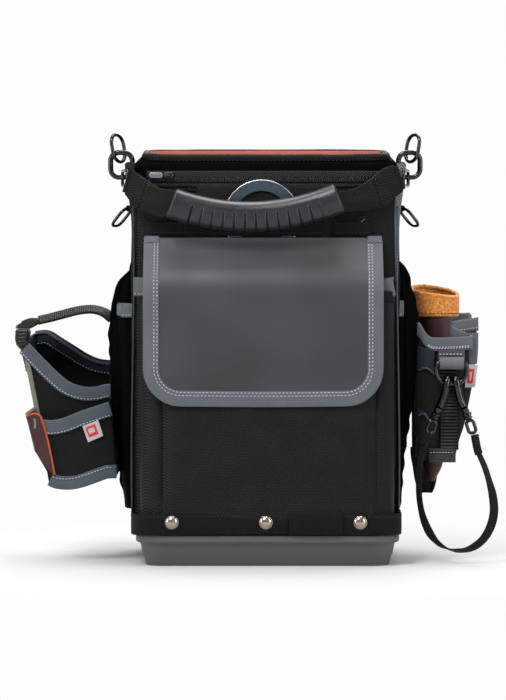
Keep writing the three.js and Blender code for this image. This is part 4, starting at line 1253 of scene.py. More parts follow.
def handle_grip():
    """Rubber grip: a smooth cover over its top and a grooved part below, with flat end faces."""
    steps, sides, near = 300, 48, 0.004
    half_height, half_depth = 15.0, 12.6
    groove_pitch, first_groove = 10.5, 20
    squareness = 0.84
    length = sum((grip_centre((k + 1) / steps) - grip_centre(k / steps)).length for k in range(steps))
    verts, uvs = [], []
    for i in range(steps + 1):
        t = i / steps
        tangent = (grip_centre(min(1, t + near)) - grip_centre(max(0, t - near))).normalized()
        out = Vector(FRONT)
        up = tangent.cross(out)
        if up.z < 0:
            up = -up
        place = t * length
        end = min(place, length - place)
        inset_part = ease(end, first_groove - 1.2, first_groove + 0.4)
        phase = (place - first_groove) % groove_pitch
        groove = 1.5 * (bump_at(phase, 0, 0.85) + bump_at(phase, groove_pitch, 0.85))
        rounded_end = 2.6 * (1 - ease(end, 0, 2.4)) ** 2
        for k in range(sides):
            angle = 2 * math.pi * k / sides
            c, s = math.cos(angle), math.sin(angle)
            # the cover's lower edge is a little above the middle
            below = 1 - ease(s, 0.16, 0.30)
            depth = rounded_end + below * inset_part * (0.9 + groove)
            u = power(c, squareness) * (half_depth - depth)
            v = power(s, squareness) * (half_height - depth * 0.85)
            verts.append((grip_centre(t) + out * u + up * v) * MM)
            uvs.append((place * MM, angle * 0.014))
    faces = tube_faces(steps + 1, sides)
    face_outward(piece("handle_grip_ribbed", verts, faces, "handle", "rubber", uvs, 42, ["handle_grip"]))


# rows of (top x, top z, bottom x, bottom z, y) from the grip outwards
HANDLE_STRAPS = {
    "left": ((-88, 359, -92, 334, -85), (-99, 360, -101, 332.5, -81.5), (-107, 363, -113, 336, -77.5),
             (-114.5, 368.6, -125.5, 341.5, -73), (-117, 370.4, -128, 343.4, -71.5),
             (-123, 374.4, -132.5, 349.5, -68.5), (-130, 379.4, -137, 355.4, -66)),
    "right": ((66, 358, 68, 337, -85), (76, 359, 78, 338.6, -81.5), (87, 362.6, 90, 339.6, -77.5),
              (98, 370, 107, 342.6, -73), (102.5, 373.4, 113.5, 345, -71.5),
              (110, 379.6, 120, 350.5, -68.5), (121, 383.6, 130, 358.4, -66)),
}


def handle_strap(name, side):
    """Webbing from one end of the grip up to the corner ring, creased where it turns back."""
    spacing, last, columns = 1.2, 43, 17
    rows = HANDLE_STRAPS[name]
    upper = smooth_path([at(x, y, z) for x, z, _, _, y in rows], spacing * MM)
    lower = smooth_path([at(x, y, z) for _, _, x, z, y in rows], spacing * MM)
    verts, uvs = [], []
    for i in range(last + 1):
        share = i / last
        top = upper[round(share * (len(upper) - 1))]
        bottom = lower[round(share * (len(lower) - 1))]
        for j in range(columns):
            v = j / (columns - 1)
            curl = (1.5 * (2 * v - 1) ** 2 + 0.5 * math.sin(9 * v + i * 0.1)) * arch(share)
            verts.append(bottom.lerp(top, v) + at(0, -1.2 + curl + bump_at(share, 0.60, 0.05), 0))
            uvs.append((i * spacing * MM, v * 27 * MM))
    faces = []
    for i in range(last):
        for j in range(columns - 1):
            a = i * columns + j
            quad = (a, a + 1, a + columns + 1, a + columns)
            faces.append(quad if side < 0 else quad[::-1])
    node = f"handle_strap_{name}"
    web = piece(f"{node}_webbing", verts, faces, "handle", "strap_twill", uvs, 60, [node])
    thicken(web, 2.6, -1)
    # a row of stitches down each side of the fold, and the turned-back end
    for k, place in enumerate((0.56, 0.66)):
        i = round(place * last)
        line = [verts[i * columns + j] + at(0, -0.5, 0) for j in range(1, columns - 1)]
        stitches(f"{node}_fold_stitches_{k}", line, "handle", "dark_thread", 2.2, 1.4, 0.35)
    end = [verts[last * columns + j] + at(side * 0.6, 1.8, 0) for j in range(1, columns - 1)]
    wire(f"{node}_fold", end, 2.4, "handle", "band", step=2, sides=16)


# ------------------------------------------------------------------ corner hardware

def node_ring(node, across, up, width, corner, radius, body):
    """The wire ring of a node, as high as the node's box and centred in it."""
    low, high = box_mm(node)
    centre, height = (low + high) / 2 * MM, high[2] - low[2]
    ring(f"{node}_ring", centre, across, up, width, height, corner, radius, body, [node])


def corner_rings(name, side):
    """The rings and links at one corner of the mouth, and what they hang from."""
    low, high = box_mm(f"strap_link_{name}")
    node_ring(f"strap_link_{name}", (1, 0, 0), (0, 0, 1), high[0] - low[0], 10.5, 2.55, "bag")
    # the strap ring, turned a little and leaning outwards
    turned = Matrix.Rotation(side * math.radians(32), 3, "Z") @ Vector((0, 1, 0))
    up = Matrix.Rotation(side * math.radians(9), 3, "Y") @ Vector((0, 0, 1))
    node_ring(f"strap_ring_{name}", turned, up, 24, 11.5, 1.8, f"strap_ring_{name}")
    # the handle's ring lies in a plane that turns from the strap's fold to the link
    low, high = box_mm(f"handle_ring_{name}")
    run_x, run_y = high[0] - low[0] - 3.2, high[1] - low[1]
    along = Vector((side * run_x, run_y, 0))
    node_ring(f"handle_ring_{name}", along, (0, 0, 1), math.hypot(run_x, run_y), 6.2, 1.6, "handle")
    # the side ring hangs from its tab, leaning out and turned a little to the front
    wall = -128 if side < 0 else 124
    lean, turn = math.radians(40), math.radians(20)
    size, radius, fold_out, fold_y, fold_z = 25, 1.5, 6.8, -30, 342
    drop = Matrix.Rotation(side * turn, 3, "Z") @ Matrix.Rotation(-side * lean, 3, "Y")
    down, across = drop @ Vector((0, 0, -1)), drop @ Vector((0, 1, 0))
    middle = Vector((wall + side * fold_out, fold_y, fold_z)) + down * (size / 2 - 1.6)
    ring(f"side_ring_{name}_ring", middle * MM, across, -down, size, size, 9, radius, f"side_ring_{name}",
         [f"side_ring_{name}"])
    link_tab(name, side, wall)
    corner_braid(name, side, wall)


def corner_braid(name, side, wall):
    """Braided cover of the corner, wide at the rim and narrowing downwards."""
    # (height, width, how far out)
    rows = ((385, 9.5, 6.0), (374, 8.5, 5.4), (360, 6.5, 3.8), (346, 4.5, 2.4), (330, 3.2, 1.4),
            (272, 2.4, 1.2))
    widths = [width for z, width, out in rows]

    def narrowing(share):
        place = share * (len(widths) - 1)
        k = min(int(place), len(widths) - 2)
        width = widths[k] + (widths[k + 1] - widths[k]) * (place - k)
        return width / widths[0], 1

    path = [at(wall + side * (out - 1.5), -57.2, z) for z, width, out in rows]
    finish = "braid" if side > 0 else "braid_dark"
    outward = (side * 0.35, -1, 0)
    strap(f"corner_braid_{name}", path, widths[0], 2.6, outward, "bag", finish, 2, scale=narrowing)


def link_tab(name, side, wall):
    """Webbing stitched to the wall, with one fold for the link and one for the side ring."""
    node, y = f"link_tab_{name}", -30
    strip = [at(wall + side * 1.2, y, z) for z in (338, 350, 362, 374, 384)]
    strap(f"{node}_strip", strip, 14, 1.3, (side, 0, 0), "bag", "band", 3, replaces=[node])
    low, high = box_mm(node)
    reach = (high[0] - low[0]) / 2
    half_width, eased, end_size = 5, 1, 0.82
    folds = (("upper", 384.2, 2.7, reach, reach + 0.3), ("lower", 342, 3.0, 4.6, 5.0))
    for part, z, size, half, out in folds:
        outline = rounded_loop(2 * half, 2 * size, size * 0.9)
        inner = half_width - eased
        loops = [[at(wall + side * out + u * shrink, y + along, z + v * shrink) for u, v in outline]
                 for along, shrink in ((-half_width, end_size), (-inner, 1), (inner, 1), (half_width, end_size))]
        loft(f"{node}_{part}_fold", loops, "bag", "band")


# ------------------------------------------------------------------ side pockets and hangers

def side_pocket(name, side):
    """The open pocket on one side wall, fuller towards its mouth."""
    node = f"side_pocket_{name}"
    low, high = box_mm(node)
    wall = high[0] if side < 0 else low[0]
    foot, rim, columns = low[2], high[2], 72
    narrowing, full_at = (0.40, foot + 70) if side < 0 else (0.55, foot + 150)

    def outline(s, z):
        angle = math.pi * s
        reach = (high[0] - low[0]) * (1 - narrowing * (1 - ease(z, foot - 10, full_at)))
        y = (low[1] + high[1]) / 2 - (high[1] - low[1]) / 2 * power(math.cos(angle), 0.62)
        swell = 0.45 * bump_at(z, 200, 45) * math.sin(angle)
        out = reach * abs(math.sin(angle)) ** 0.42 - 0.8 + swell
        return at(wall + side * max(0.3, out), y, z)

    # the pocket's cloth is painted far darker than the walls, as painted shade
    surface(f"{node}_cloth", lambda s, t: outline(s, foot + (rim - foot) * t), columns, 70, 1.6, "bag",
            "nylon_deep", -side, [node], 1.0, 24, 51 + side)
    edge = [outline(s / columns, rim - 6) + at(side * 0.6, 0, 0) for s in range(1, columns)]
    strap(f"{node}_binding", edge, 13, 3.0, lambda p, t: level_outward(p, t) * -side, "bag", "binding", None)


# how far each gusset's front edge stands out from the wall, as (height, distance) from the top down
GUSSETS = {
    "left": ((290, 2.5), (281, 7.5), (270, 17.5), (259, 20.5), (242, 24.0), (219, 26.5), (180, 24.5),
             (117, 20.0), (79, 16.0), (62, 12.0), (54, 6.5)),
    "right": ((290, 4), (286, 9), (280, 12.6), (270, 14.4), (250, 20.2), (238, 21.4), (200, 20.5),
              (160, 17.5), (120, 11.5), (97, 8.6), (70, 6.4), (55, 4.5)),
}


def hanger(name, side):
    """Webbing from the bag's wall to its hung pocket, with the gusset that closes the gap in front of it."""
    low, high = box_mm(f"hanger_{name}")
    y = (low[1] + high[1]) / 2
    inner, outer = (high[0], low[0]) if side < 0 else (low[0], high[0])
    near_wall = [at(inner + side * out, y, z) for out, z in ((1.0, 295), (1.6, 287), (5, 281))]
    near_pocket = [at(outer - side * back, y, z) for back, z in
                   ((9.5, 270), (5.0, 256), (2.4, 238), (1.7, 180), (1.7, 121))]

    def outward(point, tangent):
        return Vector((-tangent.z, 0, tangent.x)) * (side if tangent.z < 0 else -side)

    strap(f"hanger_{name}_webbing", near_wall + near_pocket, high[1] - low[1], 1.7, outward, "bag", "band", 3,
          replaces=[f"hanger_{name}"])
    wall = inner - side * 0.6
    profile = smooth_path([at(out, 0, z) for z, out in GUSSETS[name]], 3 * MM)
    fore = low[1] - 2.5

    def gusset(s, t):
        place = profile[round(t * (len(profile) - 1))]
        out, z = place.x / MM, place.z / MM
        fold = 1.6 * math.sin(3 * math.pi * s + z * 0.03) * s
        scallop = 0.7 * math.sin(z * 0.35) * s ** 4
        return at(wall + side * (out + scallop) * s, fore - 3.0 * arch(s) + fold, z)

    # the gusset is painted far darker than the walls, as painted shade in the recess
    cloth = surface(f"hanger_{name}_gusset", gusset, 24, len(profile) - 1, 2.4, "bag", "nylon_deep", side, (),
                    0.8, 30, 57 + side)
    # its top comes to a point, which an even offset would spike
    cloth.modifiers["thickness"].use_even_offset = False


# ------------------------------------------------------------------ left holster

HOLSTER_MOUTH = ((-235, 211), (-224.7, 200), (-208.6, 183.5), (-194.7, 172), (-180.8, 166.5), (-168, 165.6),
                 (-154.5, 168.5))
HOLSTER_REAR = ((-229, 219), (-218.5, 220), (-208.6, 214), (-194.7, 205), (-180.8, 196), (-168, 190.5),
                (-154.5, 188.5))
HOLSTER_POCKET = ((-217.5, 137), (-207, 136.5), (-194, 139.5), (-178, 146), (-152.5, 154.5))
HOLSTER_FOOT = ((-208, 77), (-202, 74.5), (-190, 73.5), (-177, 76), (-154.5, 84))
HOLSTER_TOE_X = -209


def holster_wall(name, y, top, replaces=(), bulge=3.0, lift=0.0, seed=61, left=HOLSTER_TOE_X):
    """One upright wall of the holster between its foot and a shaped top edge. Returns its shape."""
    inner_foot, inner_top = -145.5, -152.5

    def shape(s, t):
        x_foot = left + (inner_foot - left) * s
        x_top = top[0][0] + (inner_top - top[0][0]) * s
        z_foot = height_at(x_foot, HOLSTER_FOOT) + lift
        z_top = height_at(x_top, top)
        puff = bulge * math.sin(math.pi * min(1, max(0, s))) ** 0.6 * (0.6 + 0.4 * t)
        return at(x_foot + (x_top - x_foot) * t, y - puff + 2.0, z_foot + (z_top - z_foot) * t)

    surface(name, shape, 46, 56, 2.0, "bag", "nylon", 1, replaces, 0.8, 30, seed)
    return shape


def band_on(name, shape, t, width, thickness, finish, lift, row=None, start=0.0):
    """Binding tape along a wall's edge at height share t. Its stitches are a share of its width down."""
    steps = 40
    line = [shape(start + (1 - start) * k / steps, t) + at(0, -lift, 0) for k in range(steps + 1)]
    strap(name, line, width, thickness, FRONT, "bag", finish, None)
    if row is None:
        return
    seam = []
    for point, tangent in zip(line, tangents(line, False)):
        down = Vector((tangent.z, 0, -tangent.x)).normalized()
        if down.z > 0:
            down = -down
        seam.append(point + down * row * width * MM + at(0, -thickness, 0))
    stitches(f"{name}_stitches_0", seam, "bag", "thread", 2.0, 1.2, 0.36, FRONT, 0.1)


def holster():
    """The holster's front and rear walls with their bindings, its narrow outer wall and its floor."""
    low, high = box_mm("holster_shell")
    front_y, back_y = low[1], high[1] - 4
    front = holster_wall("holster_front_cloth", front_y + 1.2, HOLSTER_MOUTH, ["holster_shell"])
    rear = holster_wall("holster_rear_cloth", back_y, HOLSTER_REAR, bulge=1.5, seed=63)
    band_on("holster_mouth_binding", front, 0.97, 13.5, 2.4, "binding_deep", 1.6, 0.36)
    band_on("holster_rear_binding", rear, 0.965, 15, 2.6, "binding_navy", 1.6, 0.36)
    upper = [rear(k / 40, 1.0) + at(0, -2.6, -0.6) for k in range(41)]
    strap("holster_rear_edge", upper, 3.4, 3.4, (0, -1, 0.3), "bag", "binding_deep", None)
    foot_z, mouth_x = HOLSTER_FOOT[0][1], HOLSTER_MOUTH[0][0]
    fore_top, rear_top = HOLSTER_MOUTH[0][1], HOLSTER_REAR[0][1]

    def outer_wall(s, t):
        y = front_y + 2.5 + (back_y - front_y - 2.5) * s
        z = foot_z + (fore_top + (rear_top - fore_top) * s - foot_z) * t
        x = HOLSTER_TOE_X + (mouth_x - HOLSTER_TOE_X + 6 * s) * t
        return at(x - 1.8 * arch(s), y, z)

    surface("holster_outer_wall", outer_wall, 30, 50, 2.0, "bag", "nylon", -1, (), 0.8, 26, 65)
    floor = []
    for lift in (0.0, 2.0):
        fore = [front(k / 20, 0) + at(0, -1.0, lift) for k in range(21)]
        floor.append(fore + [rear(1 - k / 20, 0) + at(0, 1.0, lift) for k in range(21)])
    loft("holster_floor", floor, "bag", "nylon")
    # the pale strip along the outer corner, under the mouth's binding
    corner = [front(0.012, t / 20) + at(-0.4, -1.4, 0) for t in range(9, 19)]
    strap("holster_edge_strip", corner, 5, 1.6, (-0.35, -1, 0), "bag", "khaki", None)


def holster_pocket():
    """The pocket on the holster's front and a small woven label with a plain red frame."""
    fore = box_mm("holster_pocket")[0][1]
    shape = holster_wall("holster_pocket_cloth", fore + 1.4, HOLSTER_POCKET, ["holster_pocket"], 4.0, 0.5, 67,
                         -208)
    band_on("holster_pocket_binding", shape, 0.92, 14, 2.4, "binding_deep", 1.6, 0.4)
    band_on("holster_pocket_foot_binding", shape, 0.06, 13, 2.2, "binding_deep", 1.2)
    seam = [shape(0.04 + 0.92 * k / 30, 0.125) + at(0, -3.8, 0) for k in range(31)]
    stitches("holster_pocket_foot_stitches", seam, "bag", "thread", 2.0, 1.2, 0.34)
    face = fore - 2.6
    cloth = ((-179.4, 136.6), (-172.4, 117.1), (-157.8, 123.4), (-163.4, 140.8))
    frame_edge = ((-175.2, 131.0), (-171.4, 121.6), (-162.4, 125.4), (-166.0, 135.0))
    frame_middle = ((-172.8, 129.6), (-171.0, 125.0), (-165.4, 127.4), (-167.0, 131.8))
    label(("holster_label", cloth, 0.8, 0.25, face), ("holster_label_bar", frame_edge, face - 0.75),
          ("holster_label_gap", frame_middle, face - 0.95))


def label(cloth, frame_edge, frame_middle):
    """A woven label: its cloth as (name, outline, thickness, bevel, back), with a red frame on it."""
    name, outline, thickness, bevel, back = cloth
    plate(name, outline, thickness, "bag", "label", bevel, depth=back)
    for (name, outline, back), finish in ((frame_edge, "label_red"), (frame_middle, "label")):
        plate(name, outline, 0.3, "bag", finish, 0.1, depth=back)


def leather_sleeve():
    """Leather guard wrapped over the holster's outer toe, with an orange bound edge and a slot."""
    low, high = box_mm("leather_sleeve")
    corners = ((-224.8, 148.6), (-233.2, 143.4), (-225, 108), (-217.5, 98.5), (-208.6, 87.6), (-211.8, 94),
               (-215.8, 108), (-219.4, 130))
    edges = zip(corners, corners[1:] + corners[:1])
    outline = [(x + (nx - x) * share, z + (nz - z) * share)
               for (x, z), (nx, nz) in edges for share in (0, 0.25, 0.5, 0.75)]
    cx = sum(x for x, z in outline) / len(outline)
    fore = low[1] - 18
    loops, rows = [], 18
    for i in range(rows + 1):
        s = i / rows
        shrink = 1 - 0.28 * max(0, 1 - min(s, 1 - s) * rows / 1.6)
        loops.append([at(cx + (x - cx) * shrink, fore + (high[1] - fore) * s, z) for x, z in outline])
    loft("leather_sleeve_body", loops, "bag", "leather", ["leather_sleeve"], 50)
    flap = [(-232.4, 142.4), (-222.6, 147.4), (-218.4, 143), (-213.8, 130), (-209.2, 110), (-204.4, 85.5),
            (-209.6, 88.5), (-217.8, 100), (-225.4, 118)]
    plate("leather_sleeve_front_flap", flap, 2.4, "bag", "leather", 0.7, depth=fore - 2.2)
    edge = [at(x, fore - 4.6, z) for x, z in ((-232.2, 141.8), (-225, 144.4), (-218.8, 143.0), (-216.4, 137),
                                              (-213.4, 128), (-209.0, 109), (-204.6, 86))]
    wire("leather_sleeve_edge", edge, 1.0, "bag", "orange_edge", step=1.5, sides=10)
    tape = [at(x, fore - 3, z) for x, z in ((-232.4, 143.8), (-228, 147.2), (-223.4, 150.2))]
    strap("leather_sleeve_top_tape", tape, 2.8, 0.9, FRONT, "bag", "khaki", 2)
    slot = [at(x, fore - 4.4, z) for x, z in ((-224.2, 140), (-223.2, 135.4), (-223.6, 130.5))]
    strap("leather_sleeve_slot", slot, 2.2, 0.6, FRONT, "bag", "khaki", 2)


def buckle_part(name, outline, y0, y1, body, replaces=()):
    """A moulded buckle part: its side outline drawn through from y0 to y1, with eased ends."""
    cx = sum(u for u, v in outline) / len(outline)
    cz = sum(v for u, v in outline) / len(outline)
    eased, end_size = 1.2, 0.84
    rows = ((y0, end_size), (y0 + eased, 1), (y1 - eased, 1), (y1, end_size))
    loops = [[at(cx + (u - cx) * shrink, y, cz + (v - cz) * shrink) for u, v in outline]
             for y, shrink in rows]
    loft(name, loops, body, "plastic", replaces, 30)


def holster_strap():
    """Retention strap arching from the bag's side over the holster's mouth to its buckle, and the buckle."""
    crest = [at(x, -5, z) for x, z in ((-152.6, 233.6), (-156.0, 236.5), (-162, 240.2), (-172, 242.4),
                                       (-185, 241.2), (-200, 237.4), (-214, 233.8), (-224, 231.6))]
    strap("holster_strap_webbing", crest, 25, 2.6, (0.1, -0.27, 1), "holster_strap", "webbing", 1.5,
          replaces=["holster_strap"])
    low, high = box_mm("holster_strap")
    plug = [(low[0] + 0.2, 225.0), (low[0] + 0.8, 228.0), (-239, 231.6), (-233, 233.8), (-223.6, 234.2),
            (-222.4, 231.6), (-225.4, 228.2), (-231.2, 225.0)]
    buckle_part("holster_buckle_plug", plug, -17.4, 7.6, "holster_strap")
    for k, y in enumerate((-14, -9, -4)):
        rib = points_mm((-240, y, 231.4), (-233, y, 234.2), (-225, y, 234.6))
        wire(f"holster_buckle_rib_{k}", rib, 0.8, "holster_strap", "plastic", step=1, sides=8)
    low, high = box_mm("buckle_socket")
    case = [(low[0], 214.5), (low[0] + 0.4, 222.8), (low[0] + 1.2, 224.2), (-233.4, 224.2), (-232.4, 221.0),
            (-234.4, 208.4), (-236.4, 205.2), (low[0] + 4.2, 205.6), (low[0] + 1.2, 209.5)]
    buckle_part("buckle_socket_case", case, low[1], high[1], "bag", ["buckle_socket"])
    for k, z in enumerate((209, 212.4, 215.8, 219.2)):
        bar = points_mm((low[0] + 3, low[1] - 0.1, z), (-236.5, low[1] - 0.1, z + 0.8))
        wire(f"buckle_grip_bar_{k}", bar, 0.7, "bag", "plastic", step=1, sides=8)
    tail = points_mm((-239.4, -6, 208), (-237.2, -6, 202), (-234.6, -7, 193), (-232.8, -8, 184))
    strap("buckle_tail", tail, 20, 1.8, (-1, -0.25, 0.2), "bag", "webbing", 2)


# ------------------------------------------------------------------ right pouch

POUCH_LEFT = 145.6
POUCH_RIGHT = ((96, 178.5), (118, 184), (155, 195), (199, 201.6), (240, 202.6))
POUCH_TOE_LEFT = ((62, 152.5), (70, 149), (90, 145.5), (114, 143.5), (240, 143.5))
POUCH_TOE_RIGHT = ((62, 163), (68, 166.4), (76, 166.4), (98, 174), (120, 182), (156, 193), (200, 200.4),
                   (225, 200.4), (240, 197.6))
POUCH_MOUTH = ((145.6, 231.5), (148.5, 227.6), (152, 219.6), (156.5, 215.4), (164, 214.4), (177, 214.8),
               (191.8, 216.2))
# the line the pouch's binding follows, as (x, distance behind the pocket's face, z)
POUCH_FOLD = ((146.2, 6.5, 232), (148.6, 3.6, 229.4), (152.4, 1.6, 222.6), (156.4, 0.8, 218.6),
              (161, 0.5, 217.4), (178, 0.4, 217.6), (191, 0.8, 218.4), (195.6, 2.2, 219.0),
              (195.0, 5.4, 220.6), (188, 8.2, 223.8), (179.6, 10.4, 228.0), (177.0, 12.4, 230.6),
              (180.4, 13.6, 232.8), (192, 13.0, 234.8), (204.2, 12.2, 236.6))


def pouch_shell():
    """The pouch's wall all round, its bound rim and its floor."""
    low, high = box_mm("pouch_shell")
    fore, rear = low[1], high[1] - 3
    foot, top, skin, squareness = 99, 209, 1.6, 0.5
    columns = 90

    def wall(s, t):
        z = foot + (top - foot) * t
        right = height_at(z, POUCH_RIGHT)
        half_depth = (rear - fore) / 2 * (0.60 + 0.40 * ease(z, 90, 190)) - skin
        angle = 2 * math.pi * s - math.pi / 2
        u, v = power(math.cos(angle), squareness), power(math.sin(angle), squareness)
        x = (POUCH_LEFT + right) / 2 + u * ((right - POUCH_LEFT) / 2 - skin)
        return at(x, (fore + rear) / 2 + v * half_depth, z)

    surface("pouch_shell_cloth", wall, columns, 50, 1.6, "bag", "nylon", 1, ["pouch_shell"], 0.8, 28, 71, True)
    rim = [wall(k / columns, 0.99) for k in range(columns)]
    strap("pouch_rim_binding", rim, 9, 3.0, level_outward, "bag", "binding_deep", None, True)
    floor = [[wall(k / 40, 0) + at(0, 0, lift) for k in range(40)] for lift in (0.2, 2.0)]
    loft("pouch_floor", floor, "bag", "nylon")


def pouch_back():
    """The back panel, which stands higher than the pouch and ends in a narrow toe below it."""
    high = box_mm("pouch_shell")[1]
    foot, top = 62.4, 238

    def back(s, t):
        z = foot + (top - foot) * t
        left, right = height_at(z, POUCH_TOE_LEFT), height_at(z, POUCH_TOE_RIGHT)
        return at(left + (right - left) * s, high[1] - 1.6 - 0.8 * arch(s), z)

    surface("pouch_back_cloth", back, 40, 80, 2.2, "bag", "nylon", -1, (), 0.5, 26, 73)
    toe = [back(0.0, t / 20) for t in range(5, -1, -1)] + [back(s / 4, 0) for s in range(1, 4)]
    toe += [back(1.0, t / 20) for t in range(4)]
    wire("pouch_toe_edge", toe, 1.6, "bag", "nylon", step=2, sides=10)
    band_on("pouch_back_binding", back, 0.985, 8, 3.2, "binding", 2.6, start=0.2)
    corner = [(195.5, 231.5), (202.4, 231.0), (202.4, 237.2), (200.4, 239.8), (196, 239.6)]
    plate("pouch_back_corner", corner, 3.0, "bag", "khaki", 0.9, depth=high[1] - 4)


def pouch_pocket(face):
    """The pouch's front pocket with its dipped mouth; face is its front, in millimetres."""
    right_limit = 193.4

    def pocket(s, t):
        foot = 97 + 2 * arch(s)
        mouth = height_at(POUCH_LEFT + 46.2 * s, POUCH_MOUTH)
        z = foot + (mouth - foot) * t
        right = min(height_at(z, POUCH_RIGHT), right_limit - 1.5 * (1 - t))
        wrap = (1 - s) ** 6 * 7 + s ** 8 * 3
        return at(POUCH_LEFT + (right - POUCH_LEFT) * s, face + 3.4 - 1.4 * arch(s) ** 0.5 + wrap, z)

    surface("pouch_pocket_cloth", pocket, 60, 60, 2.0, "bag", "nylon_olive", 1, ["pouch_pocket"], 0.9, 28, 75)


def pouch_binding(face):
    """One binding along the pocket's dipped mouth, back through a fold and out along the rear tier."""
    line = smooth_path([at(x, face + y, z) for x, y, z in POUCH_FOLD], 1.2 * MM)
    width = 12.6

    def tape(s, t):
        return line[round(s * (len(line) - 1))] - at(0, 0.5 * arch(t), width * (1 - t))

    surface("pouch_binding", tape, len(line) - 1, 6, 2.2, "bag", "binding", 1, (), 0.25, 60, 78)
    front = [p for p in line if p.y < (face + 2) * MM]
    for row, (up, skip) in enumerate(((2.2, 4), (3.4, 5))):
        seam = [p - at(0, 2.9, width - up) for p in front[skip:]]
        stitches(f"pouch_binding_stitches_{row}", seam, "bag", "thread", 1.8, 1.0, 0.44, lift=0.1)
    rear = [p for p in line if p.y > (face + 11.5) * MM and p.x > 183 * MM]
    seam = [p - at(0, 3.2, width - 3) for p in rear]
    stitches("pouch_tier_stitches", seam, "bag", "thread", 1.8, 1.1, 0.34)


def pouch_tier(face):
    """The rear tier's cloth behind the binding, and the facing down its right edge."""
    left, foot, top = 187, 150, 225

    def wall(s, t):
        z = foot + (top - foot) * t
        return at(left + (height_at(z, POUCH_RIGHT) - left) * s, face + 14.5 + 1.5 * s * s, z)

    surface("pouch_tier_cloth", wall, 14, 30, 1.6, "bag", "tan_tape", 1, (), 0.4, 30, 79)
    facing = [at(x, face + 7.4, z) for x, z in ((198.6, 222), (198.4, 206), (197.4, 192))]
    strap("pouch_tier_facing", facing, 10.5, 1.8, FRONT, "bag", "binding", 3)


def pouch_soft_pocket(k, face, foot, top, reach):
    """A soft navy pocket stitched low on the pouch's left."""
    def soft(s, t):
        z = foot - 4 * s + (top - foot) * t + 4 * arch(s) * (1 - t)
        return at(146.4 + reach * s, face + 1.2 - 2.4 * arch(s * 0.6) + 5 * (1 - s) ** 4, z)

    surface(f"pouch_soft_pocket_{k}", soft, 16, 14, 1.6, "bag", "binding_navy", 1, (), 0.6, 60, 85 + k)
    edge = [soft(s / 8, 0) + at(0, -1.2, 0) for s in range(9)]
    wire(f"pouch_soft_pocket_{k}_edge", edge, 1.0, "bag", "binding_deep", step=1, sides=8)


def pouch():
    pouch_shell()
    pouch_back()
    face = box_mm("pouch_pocket")[0][1]
    pouch_pocket(face)
    pouch_binding(face)
    pouch_tier(face)
    for k, (foot, top, reach) in enumerate(((186, 209, 14.5), (142, 148, 9))):
        pouch_soft_pocket(k, face, foot, top, reach)
    cloth = ((190.6, 169.0), (200.4, 169.4), (203.0, 191.0), (191.6, 191.6))
    frame_edge = ((192.8, 173.0), (198.2, 173.2), (199.8, 187.0), (193.6, 187.2))
    frame_middle = ((194.6, 175.8), (196.6, 175.9), (197.6, 184.2), (195.2, 184.3))
    label(("pouch_label", cloth, 0.9, 0.3, face + 3.0), ("pouch_label_mark", frame_edge, face + 2.1),
          ("pouch_label_mark_gap", frame_middle, face + 1.9))


def leather_cuff():
    """Suede cuff round the pouch's mouth."""
    low, high = box_mm("leather_cuff")
    cx, cy = (low[0] + high[0]) / 2, (low[1] + high[1]) / 2
    half_x, half_y = (high[0] - low[0]) / 2 - 1.7, (high[1] - low[1]) / 2 - 1.7
    foot, crest, around = 237.2, 261.5, 90

    def wall(s, t):
        angle = 2 * math.pi * s
        back_rise = 4.2 * max(0, math.sin(angle)) - 3.2 * max(0, -math.sin(angle)) ** 0.5
        ragged = 0.7 * noise.noise(Vector((s * 30, 5, 0)))
        top = crest + back_rise - 3.0 * math.cos(angle) + ragged
        grow = 0.965 + 0.03 * t
        x, y = cx + half_x * grow * math.cos(angle), cy + half_y * grow * math.sin(angle)
        return at(x, y, foot + (top - foot) * t)

    surface("leather_cuff_suede", wall, 120, 24, 1.6, "bag", "suede", 1, ["leather_cuff"], 0.7, 60, 81, True)
    hem = [wall(k / around, 1.0) + at(0, 0, -1.0) for k in range(around)]
    wire("leather_cuff_hem", hem, 1.9, "bag", "suede", True, None, 12)
    hem = [wall(k / around, 0.03) for k in range(around)]
    wire("leather_cuff_foot", hem, 1.3, "bag", "suede", True, None, 10)
    middle = at(cx, cy, 0)
    seam = []
    for k in range(121):
        point = wall(k / 120, 0.13)
        seam.append(point + (point - middle - Vector((0, 0, point.z))).normalized() * 2.0 * MM)
    stitches("leather_cuff_stitches", seam, "bag", "purple_thread", 2.4, 1.4, 0.45,
             lambda p, t: p - middle - Vector((0, 0, p.z)), 0.1)


def leather_tube():
    """The maroon tube hung inside the pouch, closing to a rounded point."""
    cuff_low, cuff_high = box_mm("leather_cuff")
    cy = (cuff_low[1] + cuff_high[1]) / 2
    foot = box_mm("leather_sleeve_right")[0][2]
    top, wide_z, narrow_z = 251, 238, 75

    def tube(s, t):
        angle = 2 * math.pi * s
        z = foot + (top - foot) * t
        share = max(0, min(1, (wide_z - z) / (wide_z - narrow_z)))
        point = 0.72 * (1 - ease(z, 72, 100)) ** 2
        narrower = (1 - 0.5 * share) * (1 - point)
        centre = 163 + 2 * (1 - share) - 3 * point
        crease = 0.4 * math.sin(angle * 3 + z * 0.05) * (1 - point)
        x = centre + (17.4 * narrower - 0.6 + crease) * math.cos(angle)
        return at(x, cy + (17.6 * narrower - 0.6) * math.sin(angle), z)

    surface("leather_tube", tube, 60, 60, 1.2, "bag", "leather", 1, ["leather_sleeve_right"], 0.5, 30, 83,
            True)
    tip = [[tube(k / 30, 0) + at(0, 0, lift) for k in range(30)] for lift in (0.0, 2.4)]
    loft("leather_tube_tip", tip, "bag", "leather")


